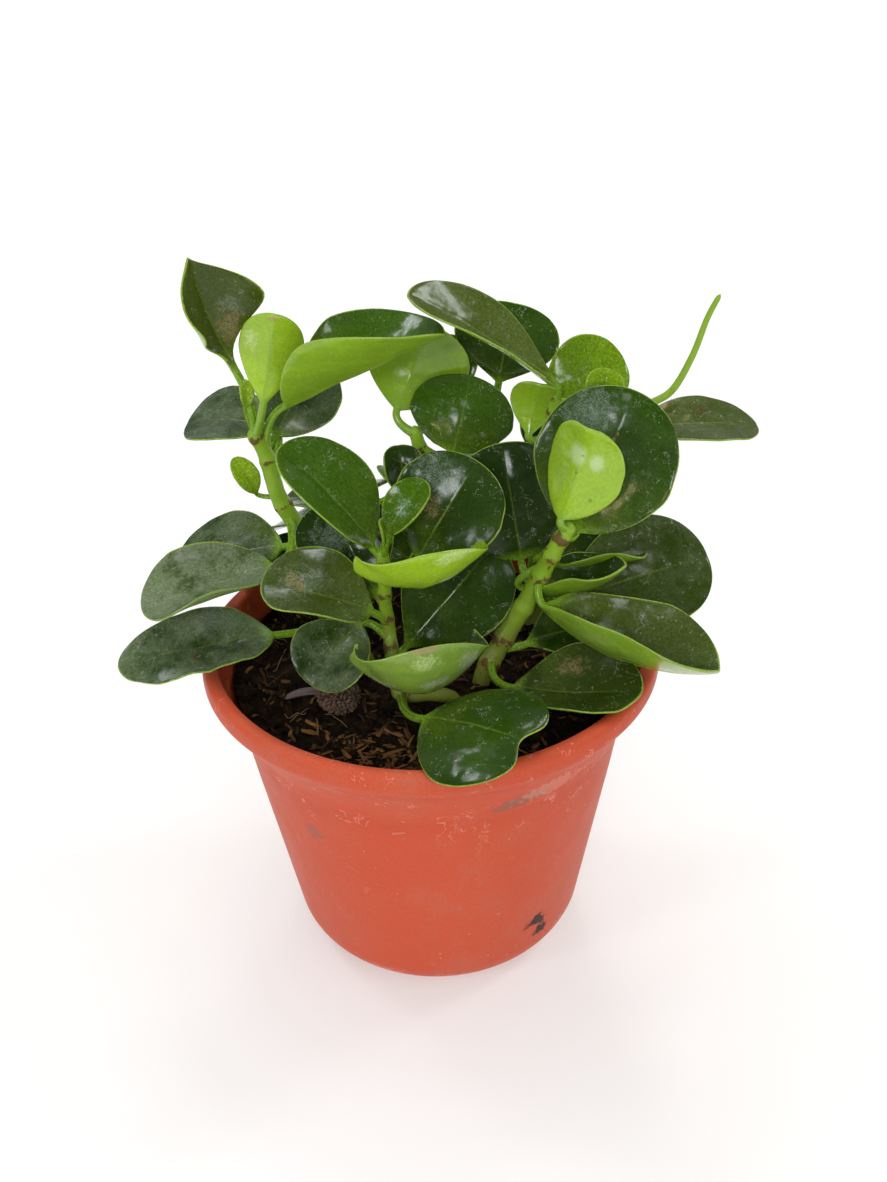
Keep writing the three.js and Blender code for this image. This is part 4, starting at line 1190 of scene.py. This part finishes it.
def makeCrumbs(earth):
    points, faces = [], []
    for index in range(soilShape["crumbs"]):
        x, y = onSoil(soilShape["reach"] - 1.5)
        size = chance.uniform(0.4, 1.5) if index % 9 else chance.uniform(1.4, 2.6)
        crumb(points, faces, Vector((x, y, soilRough(x, y) + size * 0.3)), size, index * 1.3)
    addPiece("soil_crumbs", points, faces, [earth])


def makeClod():
    points, faces, shades = [], [], []
    x, y = soilShape["clodAt"]
    size = soilShape["clodSize"]
    middle = Vector((x, y, soilShape["level"] + 0.45 * size))
    bm = bmesh.new()
    bmesh.ops.create_icosphere(bm, subdivisions=6, radius=1)
    for vert in bm.verts:
        p = vert.co.copy()
        nearest = noise.voronoi(p * 4.6 + noise.noise_vector(p * 3) * 0.5)[0]
        knob = 1 - math.exp(-7 * (nearest[1] - nearest[0]))
        grain = noise.fractal(p * 11, 0.7, 2.1, 5)
        swell = 0.88 + 0.13 * knob + 0.08 * grain + 0.1 * noise.noise(p * 1.4)
        # Darker in the crevices between the knobs: painted shade
        shades.append(min(1, max(0, 0.75 * knob - 0.1 + 0.35 * grain)))
        points.append(middle + Vector((p.x, p.y, p.z * 0.85)) * size * swell)
    faces = [tuple(v.index for v in face.verts) for face in bm.faces]
    bm.free()
    finish = makeChipFinish("clodEarth", soilLook["dark"], soilLook["clod"], 0.85)
    addPiece("soil_clod", points, faces, [finish], values={"shade": shades})


huskShape = {
    "rows": 24, "columns": 12, "start": (-56, -27.5, 127.6), "length": 19, "half": 2.3, "curl": 1.9,
    "skin": 0.18, "dark": (0.070, 0.048, 0.045), "pale": (0.200, 0.155, 0.160),
}


def makeHusk():  # the curled dry scale beside the clod
    shape = huskShape
    rows, columns = shape["rows"], shape["columns"]
    left, front, low = shape["start"]
    points, faces = [], []
    for side in (1, -1):
        for i in range(rows + 1):
            t = i / rows
            for j in range(columns + 1):
                v = 2 * j / columns - 1
                half = shape["half"] * math.sqrt(max(0, 1 - (2 * t - 1) ** 2)) ** 0.6
                curl = v * shape["curl"]
                x = left + shape["length"] * t
                y = front + half * math.sin(curl) * 0.8 + 1.2 * math.sin(t * 3)
                z = low + half * (1 - math.cos(curl)) * 0.55 + 1.4 * math.sin(t * 2.6) + side * shape["skin"]
                points.append(Vector((x, y, z)))
    wide = columns + 1
    lower = (rows + 1) * wide
    for i in range(rows):
        for j in range(columns):
            a = i * wide + j
            faces.append((a, a + 1, a + wide + 1, a + wide))
            faces.append((lower + a, lower + a + wide, lower + a + wide + 1, lower + a + 1))
    for i in range(rows):
        for j in (0, columns):
            a = i * wide + j
            faces.append((a, a + wide, lower + a + wide, lower + a))
    for j in range(columns):
        for a in (j, rows * wide + j):
            faces.append((a, a + 1, lower + a + 1, lower + a))
    finish = makeChipFinish("drySkin", shape["dark"], shape["pale"], 0.6)
    addPiece("soil_husk", points, faces, [finish], values={"shade": [0.6] * len(points)})


earthFinish = makeSoil()
makeChips()
makeStraws()
makeCrumbs(earthFinish)
makeClod()
makeHusk()
print("soil made")


# Floor, light and surroundings

studio = {
    "floor": (0.62, 0.62, 0.61), "floorRadius": 6, "glow": 0.34,
    "air": (0.95, 0.98, 1.0), "airFront": 0.10, "airBack": 0.36,
    "soft": (
        ("sky", (-0.20, 0.30, 1.0), 60, 0.98, (0.95, 0.98, 1.0)),
        ("front", (0.60, -0.90, 0.95), 90, 1.16, (1.0, 0.985, 0.96)),
    ),
    "sharp": (
        ("windowFront", (-0.18, -0.87, 0.45), 13, 0.78, (0.95, 0.98, 1.0)),
        ("windowHigh", (0.17, -0.65, 0.74), 8, 0.10, (0.97, 0.99, 1.0)),
        ("windowRight", (0.66, 0.24, 0.71), 12, 0.50, (0.95, 0.98, 1.0)),
        ("windowBack", (0.05, 0.61, 0.79), 11, 0.34, (0.93, 0.97, 1.0)),
        ("windowLeft", (-0.53, 0.37, 0.77), 9, 0.30, (0.93, 0.97, 1.0)),
        ("windowSide", (-0.785, -0.453, 0.423), 13, 0.55, (0.95, 0.98, 1.0)),
        ("lampFront", (-0.40, -0.83, 0.28), 7, 0.16, (1.0, 0.72, 0.42)),
        ("lampBack", (0.12, 0.40, 0.9), 7, 0.16, (1.0, 0.70, 0.40)),
    ),
}


def makeStudio():
    bm = bmesh.new()
    bmesh.ops.create_circle(bm, cap_ends=True, segments=96, radius=studio["floorRadius"])
    floor = objectFrom(bm, "floor")
    material, _, shader, _ = newMaterial("paleFloor")
    uniform = {"Base Color": (*studio["floor"], 1), "Roughness": 0.9, "Specular IOR Level": 0.1,
               "Emission Color": (1, 1, 1, 1), "Emission Strength": studio["glow"]}
    for socket, value in uniform.items():
        shader.inputs[socket].default_value = value
    floor.data.materials.append(material)
    world = bpy.data.worlds.new("air")
    bpy.context.scene.world = world
    world.use_nodes = True
    tree = world.node_tree
    sky = tree.nodes["Background"]
    sky.inputs["Color"].default_value = (*studio["air"], 1)
    way = tree.nodes.new("ShaderNodeTexCoord").outputs["Generated"]
    depth = addNode(tree, "ShaderNodeSeparateXYZ", {0: way}).outputs["Y"]
    strength = ramp(tree, depth, -0.1, 0.7, studio["airFront"], studio["airBack"])
    tree.links.new(strength, sky.inputs["Strength"])
    for name, place, spread, power, colour in studio["soft"] + studio["sharp"]:
        data = bpy.data.lights.new(name, "SUN")
        data.angle = spread * radians
        data.energy = power
        data.color = colour
        lamp = intoScene(bpy.data.objects.new(name, data))
        lamp.location = place
        lamp.rotation_euler = (-Vector(place)).to_track_quat("-Z", "Y").to_euler()
    for name, *_ in studio["soft"]:
        bpy.data.objects[name].visible_glossy = False
    view = bpy.context.scene.view_settings
    view.view_transform = "Standard"
    view.look = "None"


makeStudio()
print("studio made")
